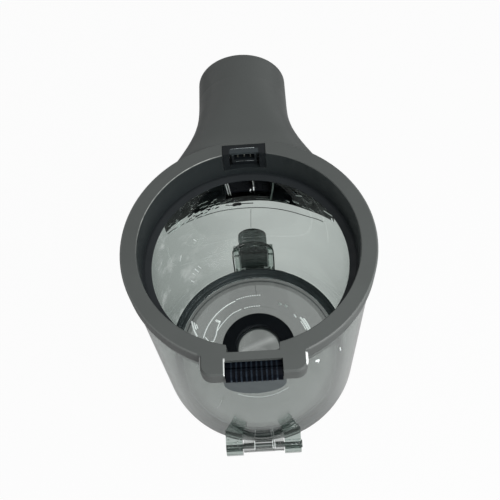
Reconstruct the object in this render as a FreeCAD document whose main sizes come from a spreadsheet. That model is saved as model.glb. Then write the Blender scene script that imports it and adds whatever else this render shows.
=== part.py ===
import FreeCAD, Part
import Sketcher
import math
import os

# Clear dust bin of a cordless cyclone vacuum: grey collar with inlet tube, hinged bottom lid.
# Millimetres, +Z up. The origin lies on the bin's axis at the lid's bottom face; the tube points
# along +Y and the release button and the lid hinge are on the -Y side.

doc = FreeCAD.newDocument("dust_bin")
sheet = doc.addObject("Spreadsheet::Sheet", "Sizes")
sheet.Label = "Sizes"

# Driving dimensions: alias, value in mm, what it is
DRIVING = [
    ("top_height", 124.2, "collar top face above the base"),
    ("bin_outer_rad", 54.8, "outside of the clear wall"),
    ("bin_wall", 3.0, "thickness of the clear wall"),
    ("bin_bottom", 2.7, "lower edge of the clear wall above the base"),
    ("bin_edge", 0.4, "bevel on that edge"),
    ("rim_bead", 0.5, "how far the clear wall's upper bead stands out"),
    ("rim_bead_depth", 7.4, "height of that bead"),
    ("collar_overhang", 1.2, "collar's outside beyond the clear wall"),
    ("collar_width", 7.25, "width of the collar's top ring"),
    ("collar_cap", 8.0, "height of the collar's thick ring"),
    ("spigot_depth", 16.0, "collar top to the lower end of its inner skirt"),
    ("seat_gap", 0.2, "gap round pieces that sit in each other"),
    ("edge_break", 0.6, "chamfer on the collar's and the tube's edges"),
    ("seal_lip_reach", 3.7, "collar's bore to the inner edge of its lip seal"),
    ("seal_plate", 1.4, "thickness of the lip seal"),
    ("seal_bead_height", 1.8, "height of the bead that holds the lip seal"),
    ("seal_bead_wide", 1.2, "width of that bead"),
    ("seal_lip_wide", 2.0, "width of the seal's thin lip"),
    ("seal_lip_thick", 0.5, "thickness of that lip"),
    ("seal_lip_drop", 0.1, "how far the lip hangs below the seal"),
    ("tube_outer_rad", 23.4, "outside of the inlet tube"),
    ("tube_reach", 59.1, "clear wall to the mouth of the inlet tube"),
    ("tube_straight", 15.4, "length of the round tube before its mouth"),
    ("neck_sink", 21.3, "how far the neck starts inside the clear wall"),
    ("neck_shoulder", 11.8, "clear wall's radius less the neck's half width"),
    ("shell_wall", 2.0, "wall of the neck and the tube"),
    ("saddle_gap", 0.8, "clear wall to the neck's saddle wall"),
    ("saddle_wall", 1.8, "thickness of the saddle wall"),
    ("cover_split", 38.0, "collar top to the seam of the neck's bottom cover"),
    ("cover_inset", 5.0, "round tube to the rear end of the bottom cover"),
    ("seam_gap", 0.15, "gap along the cover's seam"),
    ("screw_x", 21.0, "cover screws from the middle plane"),
    ("screw_reach", 4.2, "clear wall to the cover's screws"),
    ("screw_rad", 1.25, "cover screw's shank"),
    ("screw_head_rad", 2.5, "cover screw's head"),
    ("screw_head_height", 1.8, "cover screw's head"),
    ("screw_length", 11.0, "cover screw's shank below the head"),
    ("screw_boss_wall", 1.6, "wall round each screw"),
    ("screw_sink", 1.8, "how deep the screws' heads sit in the cover"),
    ("drive_wide", 0.6, "width of the slots in a screw's head"),
    ("drive_depth", 0.8, "depth of those slots"),
    ("socket_rad", 17.6, "bore that takes a 35 mm wand"),
    ("socket_length", 34.0, "length of that bore"),
    ("duct_wall", 1.5, "wall of the inlet duct"),
    ("duct_stop", 1.2, "step that the wand stops against"),
    ("duct_stop_length", 3.6, "length of the round duct behind that step"),
    ("duct_stub", 5.0, "clear wall to where the duct has become square"),
    ("duct_recess", 0.3, "duct mouth behind the tube's end"),
    ("duct_flange", 1.8, "thickness of the duct's mouth flange"),
    ("duct_fit", 0.1, "gap of that flange in the tube"),
    ("stub_gap", 0.3, "gap round the duct where it passes the neck's saddle"),
    ("port_half_width", 11.5, "half width of the inlet port"),
    ("port_low", 39.9, "collar top to the port's lower edge"),
    ("port_high", 20.2, "collar top to the port's upper edge"),
    ("vane_x", 3.5, "the vane in the port from the middle plane"),
    ("vane_wall", 1.0, "thickness of that vane"),
    ("gasket_gap", 0.05, "gap either side of the port's gasket"),
    ("boss_side", 10.2, "button to the side of its housing"),
    ("boss_reach", 4.3, "collar's outside to the front of the button's housing"),
    ("boss_corner", 4.8, "corner radius of the button's housing"),
    ("boss_edge", 0.9, "chamfer on the top of the button's housing"),
    ("boss_front_wall", 1.4, "front wall of the button's housing"),
    ("boss_skin", 2.0, "skin over the button's bay"),
    ("bay_floor", 1.2, "floor under the button's bay"),
    ("bridge_inset", 2.15, "depth of the notch in the collar's mouth"),
    ("bridge_wall", 3.5, "thickness of the bridge behind the button"),
    ("notch_half_width", 10.7, "half width of the front notch"),
    ("front_lip", 4.9, "collar top to the lip under the button"),
    ("button_half_width", 11.3, "half width of the button"),
    ("button_proud", 1.7, "button in front of its housing"),
    ("button_gap", 0.25, "gap round the button"),
    ("button_travel", 2.0, "how far the button is pressed in"),
    ("button_rib_count", 8, "ribs on the button's face"),
    ("button_rib_pitch", 2.0, "spacing of those ribs"),
    ("button_top_gap", 0.3, "button to the skin over it"),
    ("button_face_depth", 5.4, "depth of the button's raised face"),
    ("bay_wall_gap", 0.5, "button's bay to the clear wall's bead"),
    ("button_rib_wide", 1.1, "width of a rib"),
    ("plunger_inset", 2.3, "button's side to the side of its inner end"),
    ("post_gap", 0.4, "bridge to the front face of the spring's post"),
    ("post_wall", 1.0, "thickness of the spring's post"),
    ("post_half_width", 1.9, "half width of the spring's post"),
    ("post_top", 3.6, "collar top to the top of the post"),
    ("post_side_gap", 0.4, "post to the sides of the button's slot"),
    ("post_back_gap", 1.4, "post to the rear of the button's slot"),
    ("spring_cover", 3.6, "button's front to the front end of its spring"),
    ("spring_rad", 1.05, "mean radius of the button's spring"),
    ("spring_wire", 0.4, "wire of the button's spring"),
    ("spring_turns", 3.5, "turns of the button's spring"),
    ("spring_drop", 5.1, "collar top to the button's spring"),
    ("moon_side", 1.3, "half-moon's radius beyond the button's side"),
    ("moon_drop", 11.9, "collar top to the half-moon's centre"),
    ("moon_inset", 0.3, "half-moon behind the front of the button's housing"),
    ("moon_wall", 1.4, "wall of the half-moon"),
    ("moon_ring", 1.1, "width of the ring moulded round the half-moon"),
    ("moon_ring_gap", 0.4, "half-moon to that ring"),
    ("moon_ring_proud", 0.8, "how far that ring stands off the wall"),
    ("moon_wall_gap", 0.2, "half-moon to the clear wall's bead"),
    ("notch_back_half", 10.3, "half width of the connector's notch"),
    ("notch_back_depth", 4.95, "depth of the connector's notch"),
    ("connector_gap", 0.2, "gap round the connector"),
    ("connector_depth", 11.5, "collar top to the connector's lower end"),
    ("connector_block_half", 5.9, "half width of the connector's middle block"),
    ("connector_block_depth", 7.0, "collar top to that block's lower edge"),
    ("connector_leg", 3.0, "width of each leg of the connector's frame"),
    ("slot_side_wall", 1.1, "contact slot to the side of the middle block"),
    ("slot_top", 1.4, "collar top to the contact slot"),
    ("slot_bottom", 5.2, "collar top to the slot's lower edge"),
    ("contact_pitch", 3.0, "spacing of the contacts"),
    ("contact_wall", 0.6, "thickness of a contact"),
    ("contact_height", 2.0, "height of a contact"),
    ("contact_fit", 0.05, "gap round a contact in its way"),
    ("connector_recess", 0.1, "connector's face behind the collar's bore"),
    ("connector_pocket", 2.6, "depth of the gaps beside the middle block"),
    ("connector_undercut", 2.0, "depth of the gap below the middle block"),
    ("connector_bar", 1.0, "collar top to those gaps"),
    ("slot_back_wall", 0.8, "wall behind the contact slot"),
    ("blade_recess", 0.6, "contacts behind the connector's face"),
    ("blade_tail", 0.6, "contacts beyond the connector's back"),
    ("wire_rad", 0.6, "radius of a wire"),
    ("wire_drop", 3.2, "collar top to the wires"),
    ("wand_block_half", 5.5, "half width of the contact block at the tube's mouth"),
    ("wand_block_length", 12.0, "length of that block"),
    ("strip_wide", 1.2, "width of a contact strip in that block"),
    ("strip_thick", 0.8, "thickness of that strip"),
    ("strip_recess", 1.5, "strip behind the block's face"),
    ("lid_inset", 0.25, "lid's edge inside the clear wall's outside"),
    ("lid_flange", 2.4, "thickness of the lid's rim"),
    ("lid_bevel", 0.5, "bevel on the lid's edges"),
    ("lid_floor", 1.6, "thickness of the lid's floor"),
    ("lid_ring_gap", 0.6, "lid's raised ring to the clear wall"),
    ("lid_ring_top", 6.3, "top of the raised ring"),
    ("lid_ring_wall", 1.8, "thickness of the raised ring at its top"),
    ("lid_ring_slope", 0.8, "slope on the inside of the raised ring"),
    ("lid_step_top", 3.2, "height of that step"),
    ("lid_step_wide", 2.0, "width of that step"),
    ("lid_gasket_low", 3.1, "lower edge of the lid's gasket"),
    ("lid_gasket_cap", 0.8, "thickness of the gasket on top of the ring"),
    ("lid_gasket_foot", 1.2, "thickness of the gasket on the step inside the ring"),
    ("lid_gasket_depth", 1.0, "depth of the gasket's groove"),
    ("lid_gasket_proud", 0.3, "how far the gasket stands out"),
    ("band_outer_rad", 33.25, "raised band on the lid"),
    ("band_wide", 6.25, "width of that band"),
    ("band_height", 0.8, "how far that band is raised"),
    ("centre_seal_rad", 21.55, "outside of the black centre seal"),
    ("centre_seal_hole", 12.9, "hole of the centre seal"),
    ("centre_seal_top", 4.4, "top of the centre seal"),
    ("centre_seal_edge", 0.4, "bevel on the centre seal"),
    ("seal_seat_inset", 0.6, "centre seal's hole to the ring that holds it"),
    ("seal_seat_wall", 2.5, "width of that ring"),
    ("seal_skin", 0.8, "rubber over that ring"),
    ("dome_gap", 1.3, "centre seal's hole to the lid's dome"),
    ("dome_height", 1.5, "the lid's domed centre"),
    ("hinge_reach", 2.8, "clear wall to the hinge axis"),
    ("hinge_z", 3.2, "hinge axis above the base"),
    ("hinge_pin_rad", 1.25, "hinge pin"),
    ("pin_fit", 0.05, "radial running gap of the pins"),
    ("knuckle_rad", 2.5, "knuckle on the lid"),
    ("knuckle_half_width", 11.0, "half width of the lid's knuckle"),
    ("knuckle_gap", 0.3, "knuckle to lug"),
    ("knuckle_window_half", 4.75, "half width of the window in the knuckle"),
    ("knuckle_web", 1.0, "wall in front of the window"),
    ("lug_wide", 8.8, "width of each hinge lug"),
    ("lug_reach", 5.0, "hinge axis to the lug's front"),
    ("lug_slope", 2.5, "height of the slope above that"),
    ("lug_toe", 1.0, "cut corners at a lug's foot"),
    ("lug_chin", 1.8, "hinge axis to the lower end of a lug's front face"),
    ("lug_brow", 4.8, "hinge axis to the upper end of that face"),
    ("lug_rise", 8.3, "hinge axis to the top of a lug's thick part"),
    ("lug_slope_foot", 2.6, "that shoulder behind the lug's front"),
    ("lug_sink", 4.4, "how deep the lugs and cheeks run into the wall"),
    ("lid_clearance", 0.3, "lugs and cheeks above the wall's lower edge"),
    ("pin_head_rad", 2.0, "head of the hinge pin"),
    ("pin_head", 0.8, "thickness of that head"),
    ("pin_end", 0.4, "how far plain pin ends stand out"),
    ("latch_reach", 3.4, "clear wall to the latch axis"),
    ("latch_z", 18.0, "latch axis above the base"),
    ("latch_pin_rad", 0.9, "latch pin"),
    ("latch_hub_rad", 2.1, "hub of the latch lever"),
    ("latch_plate", 2.0, "thickness of the lever's plate"),
    ("latch_half_width", 8.6, "half width of the lever"),
    ("latch_rise", 25.0, "latch axis to the lever's top"),
    ("latch_bottom", 0.5, "lower end of the lever"),
    ("latch_grip_count", 3, "grip ridges on the lever"),
    ("latch_grip_half_width", 5.3, "half width of a ridge"),
    ("latch_grip_wide", 1.2, "width of a ridge"),
    ("latch_grip_pitch", 3.2, "spacing of the ridges"),
    ("latch_grip_drop", 4.1, "lever's top to the first ridge"),
    ("latch_grip_proud", 0.6, "how far the ridges stand out"),
    ("latch_nose_height", 5.0, "height of the lever's nose"),
    ("latch_nose_gap", 0.3, "lever's nose to the lid's tongue"),
    ("tongue_length", 1.85, "lid's edge to the end of its tongue"),
    ("tongue_half_width", 6.0, "half width of the lid's tongue"),
    ("tongue_low", 0.4, "underside of the tongue"),
    ("cheek_gap", 0.4, "lever to the cheeks beside it"),
    ("cheek_wide", 3.1, "thickness of each cheek"),
    ("cheek_over", 2.4, "latch axis to the outer edge of the cheeks"),
    ("cheek_front_rise", 3.0, "latch axis to the top of a cheek's outer edge"),
    ("cheek_rise", 11.0, "latch axis to the top of a cheek"),
    ("cheek_corner", 1.4, "corner cut of a cheek"),
    ("arch_rise", 16.0, "latch axis to the top of the arch behind the lever"),
    ("arch_proud", 0.8, "how far the arch stands off the wall"),
    ("arch_inset", 1.7, "lever's side to the side of the recess in the arch"),
    ("arch_crown", 4.0, "top of the arch to the top of its recess"),
    ("latch_spring_rise", 6.5, "latch axis to the latch spring"),
    ("latch_spring_rad", 1.9, "mean radius of the latch spring"),
    ("latch_spring_wire", 0.5, "wire of the latch spring"),
    ("latch_spring_turns", 2.5, "turns of the latch spring"),
    ("spring_pocket_gap", 0.4, "gap round the latch spring in its pocket"),
    ("latch_pocket", 0.8, "depth of the spring's pocket in the lever"),
]


class Size:
    """A length with its value and the sheet expression that it comes from."""

    def __init__(self, value, text):
        self.value = round(value, 9)
        self.text = text

    def join(self, other, sign, value):
        return Size(value, "(%s %s %s)" % (self.text, sign, other.text))

    def __add__(self, other):
        other = size_of(other)
        return self.join(other, "+", self.value + other.value)

    def __sub__(self, other):
        other = size_of(other)
        return self.join(other, "-", self.value - other.value)

    def __mul__(self, other):
        other = size_of(other)
        return self.join(other, "*", self.value * other.value)

    def __truediv__(self, other):
        other = size_of(other)
        return self.join(other, "/", self.value / other.value)

    def __neg__(self):
        return Size(-self.value, "(0 - %s)" % self.text)

    __radd__ = __add__

    def __rsub__(self, other):
        return size_of(other) - self


def size_of(number):
    return number if isinstance(number, Size) else Size(float(number), "%.6g" % number)


def sheet_sizes():
    """Write the driving dimensions into the sheet and hand them back by name."""
    sizes = {}
    for row, (alias, value, words) in enumerate(DRIVING, start=1):
        sheet.set("A%d" % row, words)
        sheet.set("B%d" % row, "%g" % value)
        sheet.setAlias("B%d" % row, alias)
        sizes[alias] = Size(float(value), "Sizes.%s" % alias)
    doc.recompute()
    return sizes


class Sizes:
    """The driving dimensions as attributes."""


S = Sizes()
for alias_name, size in sheet_sizes().items():
    setattr(S, alias_name, size)

# Sizes that follow from the driving ones
S.collar_outer_rad = S.bin_outer_rad + S.collar_overhang
S.collar_bore_rad = S.collar_outer_rad - S.collar_width
S.seal_lip_rad = S.collar_bore_rad - S.seal_lip_reach
S.tube_end = S.bin_outer_rad + S.tube_reach
S.tube_start = S.tube_end - S.tube_straight
S.neck_start = S.bin_outer_rad - S.neck_sink
S.neck_half_width = S.bin_outer_rad - S.neck_shoulder
S.cover_end = S.tube_start - S.cover_inset
S.screw_y = S.bin_outer_rad + S.screw_reach
S.duct_round_end = S.tube_end - S.duct_recess - S.socket_length - S.duct_stop_length
S.duct_square_end = S.bin_outer_rad + S.duct_stub
S.boss_half_width = S.button_half_width + S.boss_side
S.boss_front = S.collar_outer_rad + S.boss_reach
S.bridge_back = S.collar_bore_rad + S.bridge_inset
S.bridge_front = S.bridge_back + S.bridge_wall
S.button_front = S.boss_front + S.button_proud
S.button_face_back = S.button_front - S.button_face_depth
S.plunger_half_width = S.button_half_width - S.plunger_inset
S.post_front = S.bridge_front + S.post_gap
S.spring_seat = S.button_front - S.spring_cover
S.moon_rad = S.button_half_width + S.moon_side
S.moon_front = S.boss_front - S.moon_inset
S.notch_back_end = S.collar_bore_rad + S.notch_back_depth
S.slot_half_width = S.connector_block_half - S.slot_side_wall
S.lid_rad = S.bin_outer_rad - S.lid_inset
S.lid_ring_rad = S.bin_outer_rad - S.bin_wall - S.lid_ring_gap
S.lid_step_rad = S.lid_ring_rad - S.lid_ring_wall - S.lid_ring_slope
S.lid_floor_rad = S.lid_step_rad - S.lid_step_wide
S.band_inner_rad = S.band_outer_rad - S.band_wide
S.seal_seat_inner = S.centre_seal_hole + S.seal_seat_inset
S.seal_seat_outer = S.seal_seat_inner + S.seal_seat_wall
S.dome_rad = S.centre_seal_hole - S.dome_gap
S.hinge_y = S.bin_outer_rad + S.hinge_reach
S.lug_front_low = S.hinge_z + S.lug_chin
S.lug_front_top = S.hinge_z + S.lug_brow
S.lug_shoulder = S.hinge_z + S.lug_rise
S.lug_top = S.lug_shoulder + S.lug_slope
S.latch_y = S.bin_outer_rad + S.latch_reach
S.latch_top = S.latch_z + S.latch_rise
S.tongue_reach = S.lid_rad + S.tongue_length
S.cheek_reach = S.latch_y + S.cheek_over
S.arch_top = S.latch_z + S.arch_rise
S.arch_recess_half = S.latch_half_width - S.arch_inset
S.arch_recess_top = S.arch_top - S.arch_crown
S.latch_spring_z = S.latch_z + S.latch_spring_rise

# Rotations that take a sketch's own X, Y and normal onto the named plane
FACING = {
    "XY": FreeCAD.Rotation(),
    "XZ": FreeCAD.Rotation(FreeCAD.Vector(1, 0, 0), FreeCAD.Vector(0, 0, 1),
                           FreeCAD.Vector(0, -1, 0), "XYZ"),
    "YZ": FreeCAD.Rotation(FreeCAD.Vector(0, 1, 0), FreeCAD.Vector(0, 0, 1),
                           FreeCAD.Vector(1, 0, 0), "XYZ"),
}
NORMAL = {"XY": "z", "XZ": "y", "YZ": "x"}
ALONG = {"x": FreeCAD.Vector(1, 0, 0), "y": FreeCAD.Vector(0, 1, 0), "z": FreeCAD.Vector(0, 0, 1)}

nodes = []


def node(obj, name):
    """Give a finished sub-part its name."""
    obj.Label = name
    nodes.append(obj)
    return obj


def bind(obj, prop, size):
    obj.setExpression(prop, size_of(size).text)


def draw_outline(sketch, points):
    """Closed outline of straight lines through points, each bound to the sheet."""
    count = len(points)
    ends = [FreeCAD.Vector(size_of(u).value, size_of(v).value, 0) for u, v in points]
    for i in range(count):
        sketch.addGeometry(Part.LineSegment(ends[i], ends[(i + 1) % count]), False)
    for i in range(count):
        sketch.addConstraint(Sketcher.Constraint("Coincident", i, 2, (i + 1) % count, 1))
    for i, (u, v) in enumerate(points):
        for kind, coordinate in (("DistanceX", size_of(u)), ("DistanceY", size_of(v))):
            if coordinate.text == "0":
                axis = -2 if kind == "DistanceX" else -1
                sketch.addConstraint(Sketcher.Constraint("PointOnObject", i, 1, axis))
                continue
            index = sketch.addConstraint(
                Sketcher.Constraint(kind, -1, 1, i, 1, coordinate.value))
            sketch.setExpression("Constraints[%d]" % index, coordinate.text)


def revolved(name, points):
    """PartDesign body turned round the bin's axis from an outline of (radius, height)."""
    body = doc.addObject("PartDesign::Body", name)
    sketch = body.newObject("Sketcher::SketchObject", name + "_outline")
    plane = [f for f in body.Origin.OriginFeatures if f.Role == "XZ_Plane"][0]
    sketch.AttachmentSupport = (plane, [""])
    sketch.MapMode = "FlatFace"
    draw_outline(sketch, points)
    doc.recompute()
    turn = body.newObject("PartDesign::Revolution", name + "_turn")
    turn.Profile = sketch
    turn.ReferenceAxis = (sketch, ["V_Axis"])
    turn.Angle = 360
    doc.recompute()
    return body


def prism(name, plane, points, start, end):
    """Outline on the named plane, pulled along the plane's normal from start to end."""
    start, end = size_of(start), size_of(end)
    sketch = doc.addObject("Sketcher::SketchObject", name + "_outline")
    sketch.Placement = FreeCAD.Placement(FreeCAD.Vector(), FACING[plane])
    draw_outline(sketch, points)
    bind(sketch, "Placement.Base.%s" % NORMAL[plane], start)
    pull = doc.addObject("Part::Extrusion", name)
    pull.Base = sketch
    pull.DirMode = "Custom"
    pull.Dir = ALONG[NORMAL[plane]]
    pull.Solid = True
    bind(pull, "LengthFwd", end - start)
    return pull


def block(name, x, y, z):
    """Box between pairs of sizes."""
    box = doc.addObject("Part::Box", name)
    for span, length, base in ((x, "Length", "x"), (y, "Width", "y"), (z, "Height", "z")):
        low, high = size_of(span[0]), size_of(span[1])
        bind(box, length, high - low)
        bind(box, "Placement.Base.%s" % base, low)
    return box


def rod(name, along, radius, start, end, centre):
    """Cylinder along x, y or z; centre gives the other two coordinates in order."""
    cylinder = doc.addObject("Part::Cylinder", name)
    turn = FreeCAD.Rotation(FreeCAD.Vector(0, 0, 1), ALONG[along])
    cylinder.Placement = FreeCAD.Placement(FreeCAD.Vector(), turn)
    bind(cylinder, "Radius", radius)
    bind(cylinder, "Height", size_of(end) - start)
    places = dict(zip([a for a in "xyz" if a != along], centre))
    places[along] = start
    for letter, place in places.items():
        bind(cylinder, "Placement.Base.%s" % letter, place)
    return cylinder


def joined(name, pieces):
    fuse = doc.addObject("Part::MultiFuse", name)
    fuse.Shapes = pieces
    fuse.Refine = True
    return fuse


def shared(name, pieces):
    common = doc.addObject("Part::MultiCommon", name)
    common.Shapes = pieces
    common.Refine = True
    return common


def cut(name, base, tools):
    """Base with every tool taken away."""
    cutter = tools[0] if len(tools) == 1 else joined(name + "_tools", tools)
    result = doc.addObject("Part::Cut", name)
    result.Base = base
    result.Tool = cutter
    result.Refine = True
    return result


def chamfered(name, base, size, picked):
    """Base with its edges cut at 45 degrees wherever picked(edge) holds."""
    doc.recompute()
    chamfer = doc.addObject("Part::Chamfer", name)
    chamfer.Base = base
    chamfer.Edges = [(number, size.value, size.value)
                     for number, edge in enumerate(base.Shape.Edges, start=1) if picked(edge)]
    return chamfer


def ring(name, inner, outer, low, high):
    """Plain ring round the bin's axis."""
    return cut(name, rod(name + "_disc", "z", outer, low, high, (0, 0)),
               [rod(name + "_hole", "z", inner, size_of(low) - over, size_of(high) + over, (0, 0))])


def spring(name, wire, radius, turns, start, length, centre):
    """Coil along y with closed ends left plain."""
    pitch = length.value / turns.value
    path = Part.makeLongHelix(pitch, length.value - wire.value, radius.value)
    section = Part.Wire([Part.makeCircle(wire.value / 2, FreeCAD.Vector(radius.value, 0, 0),
                                         FreeCAD.Vector(0, 1, 0))])
    coil = Part.Wire(path.Edges).makePipeShell([section], True, True)
    feature = doc.addObject("Part::Feature", name)
    feature.Shape = coil
    turn = FreeCAD.Rotation(FreeCAD.Vector(0, 0, 1), FreeCAD.Vector(0, 1, 0))
    base = FreeCAD.Vector(centre[0].value, start.value + wire.value / 2, centre[1].value)
    feature.Placement = FreeCAD.Placement(base, turn)
    return feature


# Heights that several pieces share
tube_z = S.top_height - S.tube_outer_rad
cap_low = S.top_height - S.collar_cap
spigot_low = S.top_height - S.spigot_depth
port_low_z = S.top_height - S.port_low
port_high_z = S.top_height - S.port_high
bin_inner_rad = S.bin_outer_rad - S.bin_wall
saddle_rad = S.bin_outer_rad + S.saddle_gap
duct_outer_rad = S.socket_rad + S.duct_wall
button_shoulder = S.seat_gap - S.bridge_front
contact_indices = (-1, 0, 1)

# Reach of cutting shapes: past a face, past the whole part, and inside every ring
over = 1
beyond = S.tube_end * 2
core = S.seal_lip_rad - 5

# The button's face from the side: distance behind its front, drop below the collar's top
BUTTON_FACE = [(4.4, 1.2), (3.2, 0.95), (1.4, 1.7), (0.3, 3.0), (0.0, 3.9)]
RIB_FACE = [(3.9, 1.3), (3.3, 0.5), (1.1, 1.25), (-0.25, 3.1), (-0.25, 3.9), (1.6, 3.9)]

# Sections of the neck's loft and points on each, how square it is where it leaves the bin, and
# how late it flares on the way there
NECK_STATIONS = 8
SECTION_POINTS = 64
NECK_SQUARENESS = 4
NECK_FLARE = 1.63


def neck_section(y, half_width, half_height, squareness):
    """Closed smooth superellipse across the neck at y, with evenly spaced points."""
    fine = 30 * SECTION_POINTS
    outline = []
    for i in range(fine + 1):
        angle = 2 * math.pi * i / fine
        across = math.copysign(abs(math.cos(angle)) ** (2 / squareness), math.cos(angle))
        up = math.copysign(abs(math.sin(angle)) ** (2 / squareness), math.sin(angle))
        outline.append(FreeCAD.Vector(half_width * across, y, tube_z.value + half_height * up))
    travelled = [0.0]
    for i in range(fine):
        travelled.append(travelled[-1] + outline[i].distanceToPoint(outline[i + 1]))
    points = []
    at = 0
    for i in range(SECTION_POINTS):
        wanted = travelled[-1] * i / SECTION_POINTS
        while travelled[at + 1] <= wanted:
            at += 1
        share = (wanted - travelled[at]) / (travelled[at + 1] - travelled[at])
        points.append(outline[at] + (outline[at + 1] - outline[at]) * share)
    curve = Part.BSplineCurve()
    curve.interpolate(points, PeriodicFlag=True)
    return Part.Wire([curve.toShape()])


def neck_loft(name, inset, end, edge):
    """Neck and tube: wide and squarish at the bin, round from tube_start to end."""
    start, round_from = S.neck_start.value, S.tube_start.value
    radius = S.tube_outer_rad.value - inset
    wires = []
    for i in range(NECK_STATIONS):
        share = 1 - i / (NECK_STATIONS - 1)
        bend = share ** NECK_FLARE
        swell = bend * bend * (3 - 2 * bend)
        extra = (S.neck_half_width.value - S.tube_outer_rad.value) * swell
        squareness = 2 + (NECK_SQUARENESS - 2) * share
        y = round_from - (round_from - start) * share
        wires.append(neck_section(y, radius + extra, radius, squareness))
    neck = Part.makeLoft(wires, True, False)
    tube = Part.Face(wires[-1]).extrude(FreeCAD.Vector(0, end - edge - round_from, 0))
    pieces = [tube]
    if edge > 0:
        last = [neck_section(end - edge, radius, radius, 2), neck_section(end, radius - edge,
                                                                          radius - edge, 2)]
        pieces.append(Part.makeLoft(last, True, True))
    feature = doc.addObject("Part::Feature", name)
    feature.Shape = neck.fuse(pieces).removeSplitter()
    return feature


def duct_loft(name, grow):
    """Duct between its round part and the square port, grow outside the air's path."""
    radius = S.socket_rad.value - S.duct_stop.value + grow
    round_y, square_y = S.duct_round_end.value, S.duct_square_end.value
    centre = FreeCAD.Vector(0, round_y, tube_z.value)
    arcs = []
    for quarter in range(4):
        ends = []
        for step in (0, 1, 2):
            angle = math.radians(45 + 90 * quarter + 45 * step)
            ends.append(centre + FreeCAD.Vector(radius * math.cos(angle), 0,
                                                radius * math.sin(angle)))
        arcs.append(Part.Arc(*ends).toShape())
    half = S.port_half_width.value + grow
    low, high = port_low_z.value - grow, port_high_z.value + grow
    corners = [FreeCAD.Vector(half, square_y, high), FreeCAD.Vector(-half, square_y, high),
               FreeCAD.Vector(-half, square_y, low), FreeCAD.Vector(half, square_y, low)]
    square = Part.makePolygon(corners + corners[:1])
    feature = doc.addObject("Part::Feature", name)
    feature.Shape = Part.makeLoft([Part.Wire(arcs), square], True, True)
    return feature


def is_boss_top_edge(edge):
    """True for the upper edges of the button's housing, but not the one inside the collar."""
    box = edge.BoundBox
    on_top = box.ZMin > S.top_height.value - 0.001
    return on_top and box.YMin < -core.value - 0.001


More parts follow.
